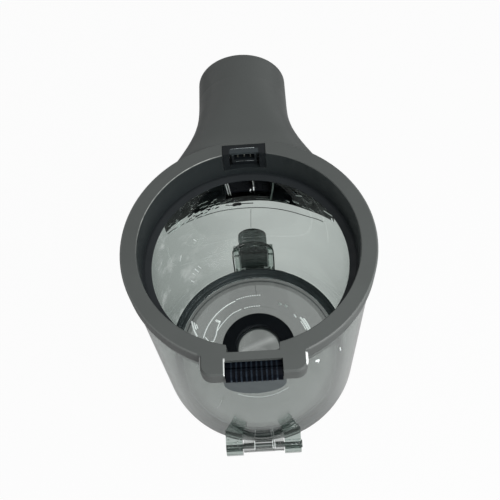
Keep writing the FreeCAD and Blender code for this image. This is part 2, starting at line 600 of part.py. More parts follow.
def make_collar_housing():
    """Grey collar, button housing, neck and inlet tube in one moulding, and the neck's cover."""
    top, edge = S.top_height, S.edge_break
    bead_mid = (S.collar_bore_rad + bin_inner_rad - S.seat_gap) / 2
    bead_low, bead_high = bead_mid - S.seal_bead_wide / 2, bead_mid + S.seal_bead_wide / 2
    groove_top = spigot_low + S.seal_bead_height
    spigot_rad = bin_inner_rad - S.seat_gap
    collar = revolved("collar_ring", [
        (S.collar_bore_rad, spigot_low), (bead_low, spigot_low), (bead_low, groove_top),
        (bead_high, groove_top), (bead_high, spigot_low), (spigot_rad, spigot_low),
        (spigot_rad, cap_low), (S.collar_outer_rad, cap_low), (S.collar_outer_rad, top - edge),
        (S.collar_outer_rad - edge / 3, top - edge / 3), (S.collar_outer_rad - edge, top),
        (S.collar_bore_rad + edge / 2, top), (S.collar_bore_rad, top - edge / 2)])

    half, front, corner = S.boss_half_width, S.boss_front, S.boss_corner
    boss_blank = joined("boss_blank", [
        block("boss_middle", (-half + corner, half - corner), (-front, -core), (cap_low, top)),
        block("boss_sides", (-half, half), (-front + corner, -core), (cap_low, top)),
        rod("boss_corner_left", "z", corner, cap_low, top, (-half + corner, -front + corner)),
        rod("boss_corner_right", "z", corner, cap_low, top, (half - corner, -front + corner))])
    boss = chamfered("boss", boss_blank, S.boss_edge, is_boss_top_edge)
    boss_back = rod("boss_back", "z", S.collar_bore_rad + S.edge_break, cap_low - over, top + over,
                    (0, 0))

    outer = neck_loft("neck_outside", 0.0, S.tube_end.value, edge.value)
    inner = neck_loft("neck_inside", S.shell_wall.value, S.tube_end.value + over, 0.0)
    inner_front = rod("saddle_front", "z", saddle_rad + S.saddle_wall, 0, top + over, (0, 0))
    hollow = cut("neck_hollow", inner, [inner_front])
    below_cap = rod("below_cap", "z", saddle_rad, -over, cap_low, (0, 0))
    mouth = rod("mouth", "z", S.collar_outer_rad - edge * 0.9, cap_low - over, top + over, (0, 0))
    neck = cut("neck_shell", outer, [hollow, below_cap, mouth])

    split_z = top - S.cover_split
    under = block("cover_space", (-beyond, beyond), (0, S.cover_end), (0, split_z))
    under_gap = block("cover_space_gap", (-beyond, beyond), (-over, S.cover_end + S.seam_gap),
                      (-over, split_z + S.seam_gap))
    boss_rad = S.screw_rad + S.screw_boss_wall
    head_low = top - S.tube_outer_rad * 2 + S.shell_wall
    shank_low = head_low + S.screw_head_height + S.screw_sink
    posts, seats, holes, heads = [], [], [], []
    for side, sign in (("left", -1), ("right", 1)):
        spot = (S.screw_x * sign, S.screw_y)
        posts.append(rod("post_" + side, "z", boss_rad, split_z + S.seam_gap, top, spot))
        seats.append(rod("seat_" + side, "z", S.screw_head_rad + S.screw_boss_wall,
                         head_low, split_z, spot))
        holes.append(rod("shank_hole_" + side, "z", S.screw_rad, shank_low,
                         shank_low + S.screw_length + over, spot))
        heads.append(rod("head_hole_" + side, "z", S.screw_head_rad + S.seat_gap, 0,
                         shank_low, spot))
    inside_neck = neck_loft("neck_limit", S.shell_wall.value / 4, S.tube_end.value, 0.0)
    posts_in = shared("posts_in", [joined("posts", posts), inside_neck])
    seats_in = shared("seats_in", [joined("seats", seats), inside_neck])

    stub_room = S.duct_wall + S.stub_gap
    port = block("saddle_port", (-S.port_half_width - stub_room, S.port_half_width + stub_room),
                 (core, saddle_rad + S.saddle_wall + S.shell_wall),
                 (port_low_z - stub_room, port_high_z + stub_room))
    notch = block("connector_notch", (-S.notch_back_half, S.notch_back_half),
                  (core, S.notch_back_end), (top - S.connector_depth - S.connector_gap, top + over))
    wire_slot = block("wire_slot", (-S.slot_half_width, S.slot_half_width),
                      (S.notch_back_end - over, S.collar_outer_rad + S.saddle_wall + S.seat_gap),
                      (top - S.wire_drop - S.wire_rad * 2, top - S.wire_drop + S.wire_rad * 2))

    bay_half = S.button_half_width + S.button_gap
    bay_front = S.boss_front_wall - front
    bay_low = cap_low + S.bay_floor
    bay_back = button_shoulder + S.button_travel + S.seat_gap
    bay_outer = -S.bin_outer_rad - S.rim_bead - S.bay_wall_gap
    bay = block("button_bay", (-bay_half, bay_half), (bay_front, bay_back),
                (bay_low, top - S.boss_skin))
    bay_top = block("button_top", (-bay_half, bay_half), (-beyond, -S.bridge_front),
                    (top - S.boss_skin - over, top + over))
    bay_mouth = block("button_mouth", (-bay_half, bay_half), (-beyond, bay_front + over),
                      (top - S.front_lip, top + over))
    bay_under = block("button_under", (-bay_half, bay_half), (bay_front, bay_outer),
                      (cap_low - over, bay_low + over))
    plunger_half = S.plunger_half_width + S.button_gap
    channel = block("plunger_channel", (-plunger_half, plunger_half), (-S.bridge_front, -core),
                    (bay_low, top - S.boss_skin))
    front_notch = block("front_notch", (-S.notch_half_width, S.notch_half_width),
                        (-S.bridge_back, -core), (cap_low, top + over))
    post = block("spring_post", (-S.post_half_width, S.post_half_width),
                 (-S.post_front, -S.post_front + S.post_wall),
                 (bay_low - S.bay_floor / 2, top - S.post_top))
    pockets = []
    for side, sign in (("left", -1), ("right", 1)):
        inner_x, outer_x = bay_half + S.boss_front_wall, half - S.boss_skin
        low_x, high_x = (inner_x, outer_x) if sign > 0 else (-outer_x, -inner_x)
        pockets.append(block("boss_pocket_" + side, (low_x, high_x), (bay_front + over, bay_outer),
                             (cap_low - over, top - S.boss_skin)))

    whole = joined("housing_whole", [collar, cut("boss_ring", boss, [boss_back]), neck])
    room = [under_gap, port, notch, wire_slot, bay, bay_top, bay_mouth, bay_under, channel,
            front_notch] + pockets
    opened = cut("housing_opened", whole, room)
    housing = cut("housing_screwed", joined("housing_posts", [opened, posts_in, post]), holes)
    node(housing, "collar_housing")

    skin = shared("cover_skin", [neck, under])
    cover = cut("cover_drilled", joined("cover_seats", [skin, seats_in]), holes + heads + [port])
    node(cover, "neck_cover")

    screws = []
    for side, sign in (("left", -1), ("right", 1)):
        spot = (S.screw_x * sign, S.screw_y)
        shank = rod("screw_shank_" + side, "z", S.screw_rad, shank_low,
                    shank_low + S.screw_length, spot)
        head = rod("screw_head_" + side, "z", S.screw_head_rad,
                   shank_low - S.screw_head_height, shank_low, spot)
        slot_half, slot_wide = S.screw_head_rad * 0.6, S.drive_wide / 2
        slot_z = (head_low, head_low + S.screw_sink + S.drive_depth)
        bars = [block("drive_a_" + side, (spot[0] - slot_half, spot[0] + slot_half),
                      (spot[1] - slot_wide, spot[1] + slot_wide), slot_z),
                block("drive_b_" + side, (spot[0] - slot_wide, spot[0] + slot_wide),
                      (spot[1] - slot_half, spot[1] + slot_half), slot_z)]
        screws.append(cut("screw_" + side, joined("screw_blank_" + side, [shank, head]), bars))
    node(joined("screws", screws), "cover_screws")


def make_collar_seal():
    """Rubber lip seal clipped into the lower end of the collar's skirt."""
    bead_mid = (S.collar_bore_rad + bin_inner_rad - S.seat_gap) / 2
    bead_half = S.seal_bead_wide / 2
    bead_in, bead_out = bead_mid - bead_half, bead_mid + bead_half
    low, outer = spigot_low - S.seal_plate, bin_inner_rad - S.seat_gap
    bead_top = spigot_low + S.seal_bead_height
    lip_low = low - S.seal_lip_drop
    seal = revolved("lip_seal", [
        (S.seal_lip_rad, lip_low), (S.seal_lip_rad + S.seal_lip_wide, lip_low),
        (S.collar_bore_rad, low), (outer, low), (outer, spigot_low), (bead_out, spigot_low),
        (bead_out, bead_top), (bead_in, bead_top), (bead_in, spigot_low),
        (S.collar_bore_rad - S.seal_lip_wide / 2, spigot_low - S.seal_lip_drop),
        (S.seal_lip_rad, lip_low + S.seal_lip_thick)])
    node(seal, "collar_seal")


def make_duct():
    """Wand sleeve, duct and vane between the tube's mouth and the port, gasket and contacts."""
    mouth = S.tube_end - S.duct_recess
    socket_end = mouth - S.socket_length
    centre = (0, tube_z)
    half = S.port_half_width
    flange_rad = S.tube_outer_rad - S.shell_wall - S.duct_fit
    block_half = S.wand_block_half + S.seat_gap
    window = cut("contact_window", block("contact_window_box", (-block_half, block_half),
                                         (mouth - S.duct_flange - over, mouth + over),
                                         (tube_z, S.top_height)),
                 [rod("contact_window_floor", "y", duct_outer_rad + S.contact_fit, 0,
                      mouth + over * 2, centre)])
    sleeve = joined("sleeve_outside", [
        rod("sleeve_round", "y", duct_outer_rad, socket_end, mouth, centre),
        rod("sleeve_flange", "y", flange_rad, mouth - S.duct_flange, mouth, centre)])
    bore = rod("sleeve_bore", "y", S.socket_rad, socket_end - over, mouth + over, centre)
    node(cut("sleeve", sleeve, [bore, window]), "wand_sleeve")

    outside = joined("duct_outside", [
        rod("duct_round", "y", duct_outer_rad, S.duct_round_end, socket_end, centre),
        duct_loft("duct_turn", S.duct_wall.value),
        block("duct_stub", (-half - S.duct_wall, half + S.duct_wall), (core, S.duct_square_end),
              (port_low_z - S.duct_wall, port_high_z + S.duct_wall))])
    inside = [
        rod("duct_bore", "y", S.socket_rad - S.duct_stop, S.duct_round_end, socket_end + over,
            centre),
        duct_loft("duct_air", 0.0),
        block("duct_stub_air", (-half, half), (core - over, S.duct_square_end),
              (port_low_z, port_high_z))]
    front = rod("duct_front", "z", saddle_rad, 0, S.top_height, (0, 0))
    node(cut("duct_trimmed", cut("duct_pipe", outside, inside), [front]), "inlet_duct")
    vane = block("vane_plate", (S.vane_x - S.vane_wall / 2, S.vane_x + S.vane_wall / 2),
                 (core, S.duct_square_end), (port_low_z, port_high_z))
    vane_front = rod("vane_front", "z", saddle_rad, 0, S.top_height, (0, 0))
    node(cut("vane", vane, [vane_front]), "port_vane")

    frame = cut("gasket_frame",
                block("gasket_plate", (-half - S.duct_wall, half + S.duct_wall),
                      (core, S.duct_square_end),
                      (port_low_z - S.duct_wall, port_high_z + S.duct_wall)),
                [block("gasket_hole", (-half, half), (core - over, S.duct_square_end + over),
                       (port_low_z, port_high_z))])
    band = ring("gasket_band", S.bin_outer_rad + S.gasket_gap, saddle_rad - S.gasket_gap, 0,
                S.top_height)
    node(shared("gasket", [frame, band]), "inlet_gasket")

    block_start = mouth - S.wand_block_length
    tray = cut("contact_tray", rod("tray_outside", "y", flange_rad, block_start, mouth, centre),
               [rod("tray_inside", "y", duct_outer_rad + S.duct_fit, block_start - over,
                    mouth + over, centre)])
    wand_block = shared("contact_sector", [
        tray, block("contact_reach", (-S.wand_block_half, S.wand_block_half),
                    (block_start, mouth), (tube_z, S.top_height))])
    wire_z = S.top_height - S.wire_drop
    wide, thick = S.strip_wide / 2, S.strip_thick / 2
    slots = []
    for index in contact_indices:
        x = S.contact_pitch * index
        way, rise = wide + S.contact_fit, thick + S.contact_fit
        slots.append(block("contact_way_%d" % (index + 2), (x - way, x + way),
                           (block_start - over, mouth + over), (wire_z - rise, wire_z + rise)))
    node(cut("contact_block", wand_block, slots), "wand_contact_block")
    for index in contact_indices:
        x = S.contact_pitch * index
        strip = block("strip_%d" % (index + 2), (x - wide, x + wide),
                      (block_start, mouth - S.strip_recess), (wire_z - thick, wire_z + thick))
        node(strip, "wand_contact_%d" % (index + 2))


def make_connector():
    """Black terminal block in the collar's back notch, its blades and the wires behind it."""
    top, gap = S.top_height, S.connector_gap
    half, back = S.notch_back_half - gap, S.notch_back_end - gap
    front = S.collar_bore_rad + S.connector_recess
    upper = block("connector_upper", (-half, half), (core, back), (cap_low, top - gap))
    lower = shared("connector_lower", [
        block("connector_skirt", (-half, half), (core, back), (top - S.connector_depth, cap_low)),
        rod("connector_limit", "z", bin_inner_rad - S.seat_gap - S.connector_recess, 0, top,
            (0, 0))])
    leg_in = half - S.connector_leg
    pocket_y, pocket_z = (core, front + S.connector_pocket), (0, top - S.connector_bar)
    tools = [
        rod("connector_face", "z", front, 0, top + over, (0, 0)),
        block("gap_left", (-leg_in, -S.connector_block_half), pocket_y, pocket_z),
        block("gap_right", (S.connector_block_half, leg_in), pocket_y, pocket_z),
        block("gap_below", (-leg_in, leg_in), (core, front + S.connector_undercut),
              (0, top - S.connector_block_depth)),
        block("contact_slot", (-S.slot_half_width, S.slot_half_width),
              (core, back - S.slot_back_wall), (top - S.slot_bottom, top - S.slot_top))]
    wire_z = top - S.wire_drop
    thick, tall = S.contact_wall / 2, S.contact_height / 2
    for index in contact_indices:
        x = S.contact_pitch * index
        way, rise = thick + S.contact_fit, tall + S.contact_fit
        tools.append(block("blade_way_%d" % (index + 2), (x - way, x + way),
                           (back - over, back + over), (wire_z - rise, wire_z + rise)))
    node(cut("connector", joined("connector_blank", [upper, lower]), tools), "connector_body")

    wire_start = back + S.blade_tail
    wire_end = S.tube_end - S.duct_recess - S.wand_block_length
    for index in contact_indices:
        x = S.contact_pitch * index
        blade = block("blade_%d" % (index + 2), (x - thick, x + thick),
                      (front + S.blade_recess, wire_start), (wire_z - tall, wire_z + tall))
        node(blade, "connector_blade_%d" % (index + 2))
        wire = rod("lead_%d" % (index + 2), "y", S.wire_rad, wire_start, wire_end, (x, wire_z))
        node(wire, "wire_%d" % (index + 2))


def make_button():
    """Ribbed release button that slides inward, its spring and the half-moon carrier below."""
    top = S.top_height
    half = S.button_half_width
    back_front = S.boss_front_wall + S.seat_gap - S.boss_front
    skin = top - S.boss_skin - S.button_top_gap
    foot, lip = cap_low + S.bay_floor + S.seat_gap, top - S.front_lip + S.seat_gap
    rear = -S.bridge_back - S.contact_fit
    face = [(rear, skin), (-S.button_face_back, skin)]
    face += [(behind - S.button_front, top - drop) for behind, drop in BUTTON_FACE]
    face += [(BUTTON_FACE[-2][0] - S.button_front, lip), (back_front, lip), (back_front, foot),
             (rear, foot)]
    solid = prism("button_solid", "YZ", face, -half, half)
    sides = []
    for side, sign in (("left", -1), ("right", 1)):
        inner_x, outer_x = S.plunger_half_width, half + over
        low_x, high_x = (inner_x, outer_x) if sign > 0 else (-outer_x, -inner_x)
        sides.append(block("plunger_side_" + side, (low_x, high_x), (button_shoulder, 0),
                           (cap_low, top)))
    slot_half = S.post_half_width + S.post_side_gap
    slot = block("spring_slot", (-slot_half, slot_half),
                 (-S.spring_seat, -S.post_front + S.post_wall + S.post_back_gap),
                 (cap_low, top - S.post_top + S.button_top_gap))
    ribs = []
    count = int(S.button_rib_count.value)
    for i in range(count):
        x = S.button_rib_pitch * (i - (count - 1) / 2)
        outline = [(behind - S.button_front, top - drop) for behind, drop in RIB_FACE]
        ribs.append(prism("rib_%d" % (i + 1), "YZ", outline, x - S.button_rib_wide / 2,
                          x + S.button_rib_wide / 2))
    node(cut("button", joined("button_ribbed", [solid] + ribs), sides + [slot]), "release_button")

    coil = spring("button_coil", S.spring_wire, S.spring_rad, S.spring_turns, -S.spring_seat,
                  S.spring_seat - S.post_front, (size_of(0), top - S.spring_drop))
    node(coil, "button_spring")

    centre_z = top - S.moon_drop
    wall_rad = S.bin_outer_rad + S.rim_bead + S.moon_wall_gap
    front = -S.moon_front
    disc = rod("moon_disc", "y", S.moon_rad, front, -core, (0, centre_z))
    riser = block("moon_riser", (-S.moon_rad, S.moon_rad), (front, -core), (centre_z, cap_low))
    trim = block("moon_trim", (-beyond, beyond), (-beyond, 0), (cap_low, top + S.moon_rad))
    hollow_rad = S.moon_rad - S.moon_wall
    hollow = joined("moon_hollow", [
        rod("moon_hollow_disc", "y", hollow_rad, front + S.moon_wall, -core, (0, centre_z)),
        block("moon_hollow_riser", (-hollow_rad, hollow_rad), (front + S.moon_wall, -core),
              (centre_z, cap_low - S.moon_wall))])
    wall = rod("moon_wall", "z", wall_rad, 0, top + over, (0, 0))
    node(cut("moon", joined("moon_blank", [disc, riser]), [trim, hollow, wall]), "button_carrier")


def make_bin_shell():
    """Clear bin wall with its port, hinge lugs, latch cheeks and the arch behind the latch."""
    top = S.top_height
    bead_low = cap_low - S.rim_bead_depth
    bead_rad = S.bin_outer_rad + S.rim_bead
    wall = revolved("bin_wall", [
        (bin_inner_rad, S.bin_bottom + S.bin_edge), (bin_inner_rad + S.bin_edge, S.bin_bottom),
        (S.bin_outer_rad, S.bin_bottom), (S.bin_outer_rad, bead_low),
        (bead_rad, bead_low + S.rim_bead), (bead_rad, cap_low), (bin_inner_rad, cap_low)])

    lug_in = S.knuckle_half_width + S.knuckle_gap
    lug_out = lug_in + S.lug_wide
    front = -S.hinge_y - S.lug_reach
    sunk = S.bin_outer_rad - S.lug_sink
    clear_z = S.bin_bottom + S.lid_clearance
    lug_outline = [(front + S.lug_toe, 0), (S.lug_toe - S.hinge_y, 0),
                   (S.knuckle_rad - S.hinge_y, S.hinge_z - S.lug_toe * 1.5),
                   (S.knuckle_rad + S.lid_clearance - S.hinge_y, clear_z), (-sunk, clear_z),
                   (-sunk, S.lug_top), (front + S.lug_slope_foot, S.lug_shoulder),
                   (front, S.lug_front_top), (front, S.lug_front_low)]
    outside = []
    for side, sign in (("left", -1), ("right", 1)):
        low_x, high_x = (lug_in, lug_out) if sign > 0 else (-lug_out, -lug_in)
        outside.append(prism("lug_" + side, "YZ", lug_outline, low_x, high_x))

    cheek_in = S.latch_half_width + S.cheek_gap
    cheek_out = cheek_in + S.cheek_wide
    pad = shared("arch_pad", [
        joined("arch_blank", [
            rod("arch_disc", "y", cheek_out, sunk, S.cheek_reach, (0, S.arch_top - cheek_out)),
            block("arch_block", (-cheek_out, cheek_out), (sunk, S.cheek_reach),
                  (S.bin_bottom, S.arch_top - cheek_out))]),
        rod("arch_limit", "z", S.bin_outer_rad + S.arch_proud, 0, top, (0, 0))])
    recess_rad = S.arch_recess_half
    recess = joined("arch_recess", [
        rod("recess_disc", "y", recess_rad, sunk, S.cheek_reach,
            (0, S.arch_recess_top - recess_rad)),
        block("recess_block", (-recess_rad, recess_rad), (sunk, S.cheek_reach),
              (0, S.arch_recess_top - recess_rad))])
    arch = cut("arch", pad, [recess])
    cheek_foot = S.bin_outer_rad + S.seat_gap
    cheek_outline = [(sunk, clear_z), (cheek_foot, clear_z), (cheek_foot, 0), (S.cheek_reach, 0),
                     (S.cheek_reach, S.latch_z + S.cheek_front_rise),
                     (S.cheek_reach - S.cheek_corner, S.latch_z + S.cheek_front_rise * 2),
                     (cheek_foot, S.latch_z + S.cheek_rise), (sunk, S.latch_z + S.cheek_rise)]
    for side, sign in (("left", -1), ("right", 1)):
        low_x, high_x = (cheek_in, cheek_out) if sign > 0 else (-cheek_out, -cheek_in)
        outside.append(prism("cheek_" + side, "YZ", cheek_outline, low_x, high_x))

    moon_z = top - S.moon_drop
    ring_in = S.moon_rad + S.moon_ring_gap
    moon_ring = shared("moon_ring", [
        cut("moon_ring_blank", rod("moon_ring_disc", "y", ring_in + S.moon_ring, -S.moon_front,
                                   -sunk, (0, moon_z)),
            [rod("moon_ring_hole", "y", ring_in, -S.moon_front - over, over - sunk,
                 (0, moon_z))]),
        rod("moon_ring_limit", "z", S.bin_outer_rad + S.moon_ring_proud, 0, bead_low, (0, 0))])
    inside = rod("bin_inside", "z", S.bin_outer_rad - S.bin_wall * 0.6, -over, top, (0, 0))
    blank = joined("bin_fittings_blank", outside + [arch, moon_ring])
    fittings = cut("bin_fittings", blank, [inside])

    port = block("bin_port", (-S.port_half_width, S.port_half_width), (core, S.cheek_reach),
                 (port_low_z, port_high_z))
    hinge_hole = rod("hinge_hole", "x", S.hinge_pin_rad + S.pin_fit, -beyond, beyond,
                     (-S.hinge_y, S.hinge_z))
    latch_hole = rod("latch_hole", "x", S.latch_pin_rad + S.pin_fit, -beyond, beyond,
                     (S.latch_y, S.latch_z))
    node(cut("bin", joined("bin_whole", [wall, fittings]), [port, hinge_hole, latch_hole]),
         "bin_shell")

    pin = joined("hinge_pin_blank", [
        rod("hinge_rod", "x", S.hinge_pin_rad, -lug_out - S.pin_end, lug_out,
            (-S.hinge_y, S.hinge_z)),
        rod("hinge_head", "x", S.pin_head_rad, lug_out, lug_out + S.pin_head,
            (-S.hinge_y, S.hinge_z))])
    node(pin, "hinge_pin")
    pin_half = cheek_out + S.pin_end
    latch_pin = rod("latch_rod", "x", S.latch_pin_rad, -pin_half, pin_half, (S.latch_y, S.latch_z))
    node(latch_pin, "latch_pin")


def make_lid():
    """Clear bottom lid with its raised ring, hinge knuckle and tongue, and its two seals."""
    ring_rad, ring_top = S.lid_ring_rad, S.lid_ring_top
    groove_rad = ring_rad - S.lid_gasket_depth
    ring_inner = ring_rad - S.lid_ring_wall
    cap_low = ring_top - S.lid_gasket_cap
    seat_top = S.centre_seal_top - S.seal_skin
    floor = S.lid_floor
    bevel, slope = S.lid_bevel, S.lid_bevel * 0.8
    plate = revolved("lid_plate", [
        (0, 0), (S.lid_rad - bevel, 0), (S.lid_rad, bevel), (S.lid_rad, S.lid_flange),
        (ring_rad, S.lid_flange), (ring_rad, S.lid_gasket_low), (groove_rad, S.lid_gasket_low),
        (groove_rad, cap_low), (ring_inner, cap_low), (S.lid_step_rad, S.lid_step_top),
        (S.lid_floor_rad + bevel, S.lid_step_top), (S.lid_floor_rad, floor),
        (S.band_outer_rad + slope, floor), (S.band_outer_rad, floor + S.band_height),
        (S.band_inner_rad, floor + S.band_height), (S.band_inner_rad - slope, floor),
        (S.seal_seat_outer, floor), (S.seal_seat_outer, seat_top), (S.seal_seat_inner, seat_top),
        (S.seal_seat_inner, floor), (0, floor)])

    dome_ball = (S.dome_rad * S.dome_rad + S.dome_height * S.dome_height) / (S.dome_height * 2)
    dome = shared("lid_dome", [
        rod("dome_disc", "z", S.dome_rad, floor / 2, floor + S.dome_height + over, (0, 0)),
        dome_sphere(dome_ball, floor + S.dome_height)])

    half = S.knuckle_half_width
    knuckle_front = -S.hinge_y - S.knuckle_rad
    knuckle_back = -S.hinge_y + S.knuckle_rad
    arm = joined("lid_arm", [
        block("arm_plate", (-half, half), (knuckle_front, -ring_rad), (0, S.lid_flange)),
        block("arm_foot", (-half, half), (knuckle_front, knuckle_back), (0, S.hinge_z)),
        rod("knuckle", "x", S.knuckle_rad, -half, half, (-S.hinge_y, S.hinge_z))])
    tongue = block("lid_tongue", (-S.tongue_half_width, S.tongue_half_width),
                   (ring_rad, S.tongue_reach), (S.tongue_low, S.lid_flange))
    hinge_hole = rod("knuckle_hole", "x", S.hinge_pin_rad + S.pin_fit, -beyond, beyond,
                     (-S.hinge_y, S.hinge_z))
    window = block("knuckle_window", (-S.knuckle_window_half, S.knuckle_window_half),
                   (knuckle_front + S.knuckle_web, -S.lid_rad + S.lid_bevel / 2),
                   (-over, S.hinge_z * 3))
    node(cut("lid", joined("lid_whole", [plate, dome, arm, tongue]), [hinge_hole, window]),
         "bottom_lid")

    proud = ring_rad + S.lid_gasket_proud
    gasket = revolved("rim_gasket", [
        (groove_rad, S.lid_gasket_low), (proud, S.lid_gasket_low + S.lid_gasket_proud),
        (proud, ring_top - slope), (proud - slope, ring_top), (ring_inner + slope / 2, ring_top),
        (S.lid_step_rad, S.lid_step_top + S.lid_gasket_foot),
        (S.lid_floor_rad + bevel, S.lid_step_top + S.lid_gasket_foot),
        (S.lid_floor_rad + bevel, S.lid_step_top), (S.lid_step_rad, S.lid_step_top),
        (ring_inner, cap_low), (groove_rad, cap_low)])
    node(gasket, "lid_gasket")

    gap, edge = S.seat_gap / 2, S.centre_seal_edge
    foot = floor + gap
    seal_top = S.centre_seal_top
    seal = revolved("disc_seal", [
        (S.centre_seal_hole, foot), (S.seal_seat_inner - gap, foot),
        (S.seal_seat_inner - gap, seat_top), (S.seal_seat_outer + gap, seat_top),
        (S.seal_seat_outer + gap, foot), (S.centre_seal_rad, foot),
        (S.centre_seal_rad, seal_top - edge), (S.centre_seal_rad - edge, seal_top),
        (S.centre_seal_hole + edge * 3, seal_top), (S.centre_seal_hole, seal_top - edge * 1.5)])
    node(seal, "centre_seal")


def dome_sphere(radius, crown):
    """Ball whose top is the crown of the lid's domed centre."""
    ball = doc.addObject("Part::Sphere", "dome_ball")
    bind(ball, "Radius", radius)
    bind(ball, "Placement.Base.z", crown - radius)
    return ball


def make_latch():
    """Clear latch lever outside the back wall, and its spring."""
    half, plate = S.latch_half_width, S.latch_plate
    inner, outer = S.latch_y - plate / 2, S.latch_y + plate / 2
    arch_z = S.latch_top - half
    blade = joined("lever_plate", [
        block("lever_block", (-half, half), (inner, outer), (S.latch_bottom, arch_z)),
        rod("lever_arch", "y", half, inner, outer, (0, arch_z)),
        rod("lever_hub", "x", S.latch_hub_rad, -half, half, (S.latch_y, S.latch_z))])
    nose_face, nose_top = S.tongue_reach + S.latch_nose_gap, S.latch_bottom + S.latch_nose_height
    ridge = S.latch_grip_proud
    nose = prism("lever_nose", "YZ", [
        (nose_face, S.latch_bottom), (outer + ridge, S.latch_bottom),
        (outer + ridge, nose_top - inner + nose_face - ridge), (outer, nose_top), (inner, nose_top),
        (nose_face, nose_top - inner + nose_face)],
        -S.tongue_half_width - S.cheek_gap, S.tongue_half_width + S.cheek_gap)
    grips = []
    count = int(S.latch_grip_count.value)
    grip_half, grip_high = S.latch_grip_half_width, S.latch_grip_wide / 2
    for i in range(count):
        z = S.latch_top - S.latch_grip_drop - S.latch_grip_pitch * i
        grips.append(block("grip_%d" % (i + 1), (-grip_half, grip_half), (outer - ridge, outer + ridge),
                           (z - grip_high, z + grip_high)))
    hole = rod("lever_hole", "x", S.latch_pin_rad + S.pin_fit, -beyond, beyond,
               (S.latch_y, S.latch_z))
    pocket_rad = S.latch_spring_rad + S.latch_spring_wire / 2 + S.spring_pocket_gap
    pocket = rod("spring_pocket", "y", pocket_rad, inner - over, inner + S.latch_pocket,
                 (0, S.latch_spring_z))
    node(cut("lever", joined("lever_blank", [blade, nose] + grips), [hole, pocket]), "latch_lever")

    start = S.bin_outer_rad + S.contact_fit
    coil = spring("latch_coil", S.latch_spring_wire, S.latch_spring_rad, S.latch_spring_turns, start,
                  inner + S.latch_pocket - start, (size_of(0), S.latch_spring_z))
    node(coil, "latch_spring")


def check_and_write():
    """Stop on any failed object or bad shape, then write one STEP file for each sub-part."""
    doc.recompute()
    for obj in doc.Objects:
        if "Invalid" in obj.State or "Error" in obj.State:
            raise RuntimeError("failed object: %s (%s)" % (obj.Name, obj.Label))
    for obj in nodes:
        shape = obj.Shape
        if shape.isNull() or not shape.isValid() or not shape.Solids:
            raise RuntimeError("bad shape: %s" % obj.Label)
    os.makedirs("parts", exist_ok=True)
    for obj in nodes:
        obj.Shape.exportStep(os.path.join("parts", obj.Label + ".step"))
        print("%-22s %d solid(s) %10.1f mm3" % (obj.Label, len(obj.Shape.Solids), obj.Shape.Volume))


make_collar_housing()
make_collar_seal()
make_duct()
make_connector()
make_button()
make_bin_shell()
make_lid()
make_latch()
check_and_write()
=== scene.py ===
import math
import random

import bpy
from mathutils import Matrix, Vector


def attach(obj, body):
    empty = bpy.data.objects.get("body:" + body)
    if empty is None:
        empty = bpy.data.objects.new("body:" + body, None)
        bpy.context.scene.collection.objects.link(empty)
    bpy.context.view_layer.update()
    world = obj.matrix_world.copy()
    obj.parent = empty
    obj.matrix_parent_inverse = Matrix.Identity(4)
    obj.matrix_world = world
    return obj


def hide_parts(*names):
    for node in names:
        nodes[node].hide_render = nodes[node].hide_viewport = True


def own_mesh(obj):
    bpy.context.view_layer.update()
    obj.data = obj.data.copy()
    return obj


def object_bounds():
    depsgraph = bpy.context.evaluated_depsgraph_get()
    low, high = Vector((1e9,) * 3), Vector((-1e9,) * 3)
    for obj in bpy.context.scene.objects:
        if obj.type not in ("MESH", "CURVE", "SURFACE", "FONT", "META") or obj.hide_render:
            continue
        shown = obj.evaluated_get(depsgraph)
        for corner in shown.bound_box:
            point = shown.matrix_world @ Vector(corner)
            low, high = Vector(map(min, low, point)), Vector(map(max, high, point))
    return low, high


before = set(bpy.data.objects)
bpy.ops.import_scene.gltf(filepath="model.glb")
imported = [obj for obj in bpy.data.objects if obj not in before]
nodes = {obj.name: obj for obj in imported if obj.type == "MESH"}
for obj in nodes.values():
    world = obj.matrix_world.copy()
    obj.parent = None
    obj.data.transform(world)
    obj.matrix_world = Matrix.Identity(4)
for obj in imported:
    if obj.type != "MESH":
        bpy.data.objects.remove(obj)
cad_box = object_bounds()
scene = bpy.context.scene
scene.view_settings.view_transform = "Standard"

# Camera: the photograph's angle, found from the outlines of the collar, wall, lid and tube.
# It turns about the middle of the collar's top. Lengths are in metres, the sensor in millimetres.
FOCAL_PIXELS = 663.26
FRAME_PIXELS = 500
SENSOR = 36.0
CLIP_NEAR = 0.01
CLIP_FAR = 20.0
DISTANCE = 0.28735
ELEVATION = math.radians(59.43)
AZIMUTH = math.radians(2.57)
ROLL = math.radians(-5.76)
SHIFT_RIGHT = -0.00094
SHIFT_UP = 0.00401
COLLAR_TOP = 0.1242


def add_camera():
    back = Vector((math.sin(AZIMUTH) * math.cos(ELEVATION),
                   -math.cos(AZIMUTH) * math.cos(ELEVATION),
                   math.sin(ELEVATION)))
    level = (-back).cross(Vector((0, 0, 1))).normalized()
    upright = level.cross(-back)
    right = math.cos(ROLL) * level + math.sin(ROLL) * upright
    up = -math.sin(ROLL) * level + math.cos(ROLL) * upright
    place = back * DISTANCE - right * SHIFT_RIGHT - up * SHIFT_UP + Vector((0, 0, COLLAR_TOP))
    data = bpy.data.cameras.new("camera")
    data.sensor_width = SENSOR
    data.lens = FOCAL_PIXELS / FRAME_PIXELS * SENSOR
    data.clip_start = CLIP_NEAR
    data.clip_end = CLIP_FAR
    camera = bpy.data.objects.new("camera", data)
    turn = Matrix((right, up, back)).transposed().to_4x4()
    camera.matrix_world = Matrix.Translation(place) @ turn
    scene.collection.objects.link(camera)
    scene.camera = camera


add_camera()


# Materials

# Sockets of a Mix node for colours
MIX_FACTOR, MIX_FIRST, MIX_SECOND, MIX_RESULT = 0, 6, 7, 2

# Noise values between which a surface goes from its darker to its lighter tone
CLOUD_SPAN = (0.3, 0.7)

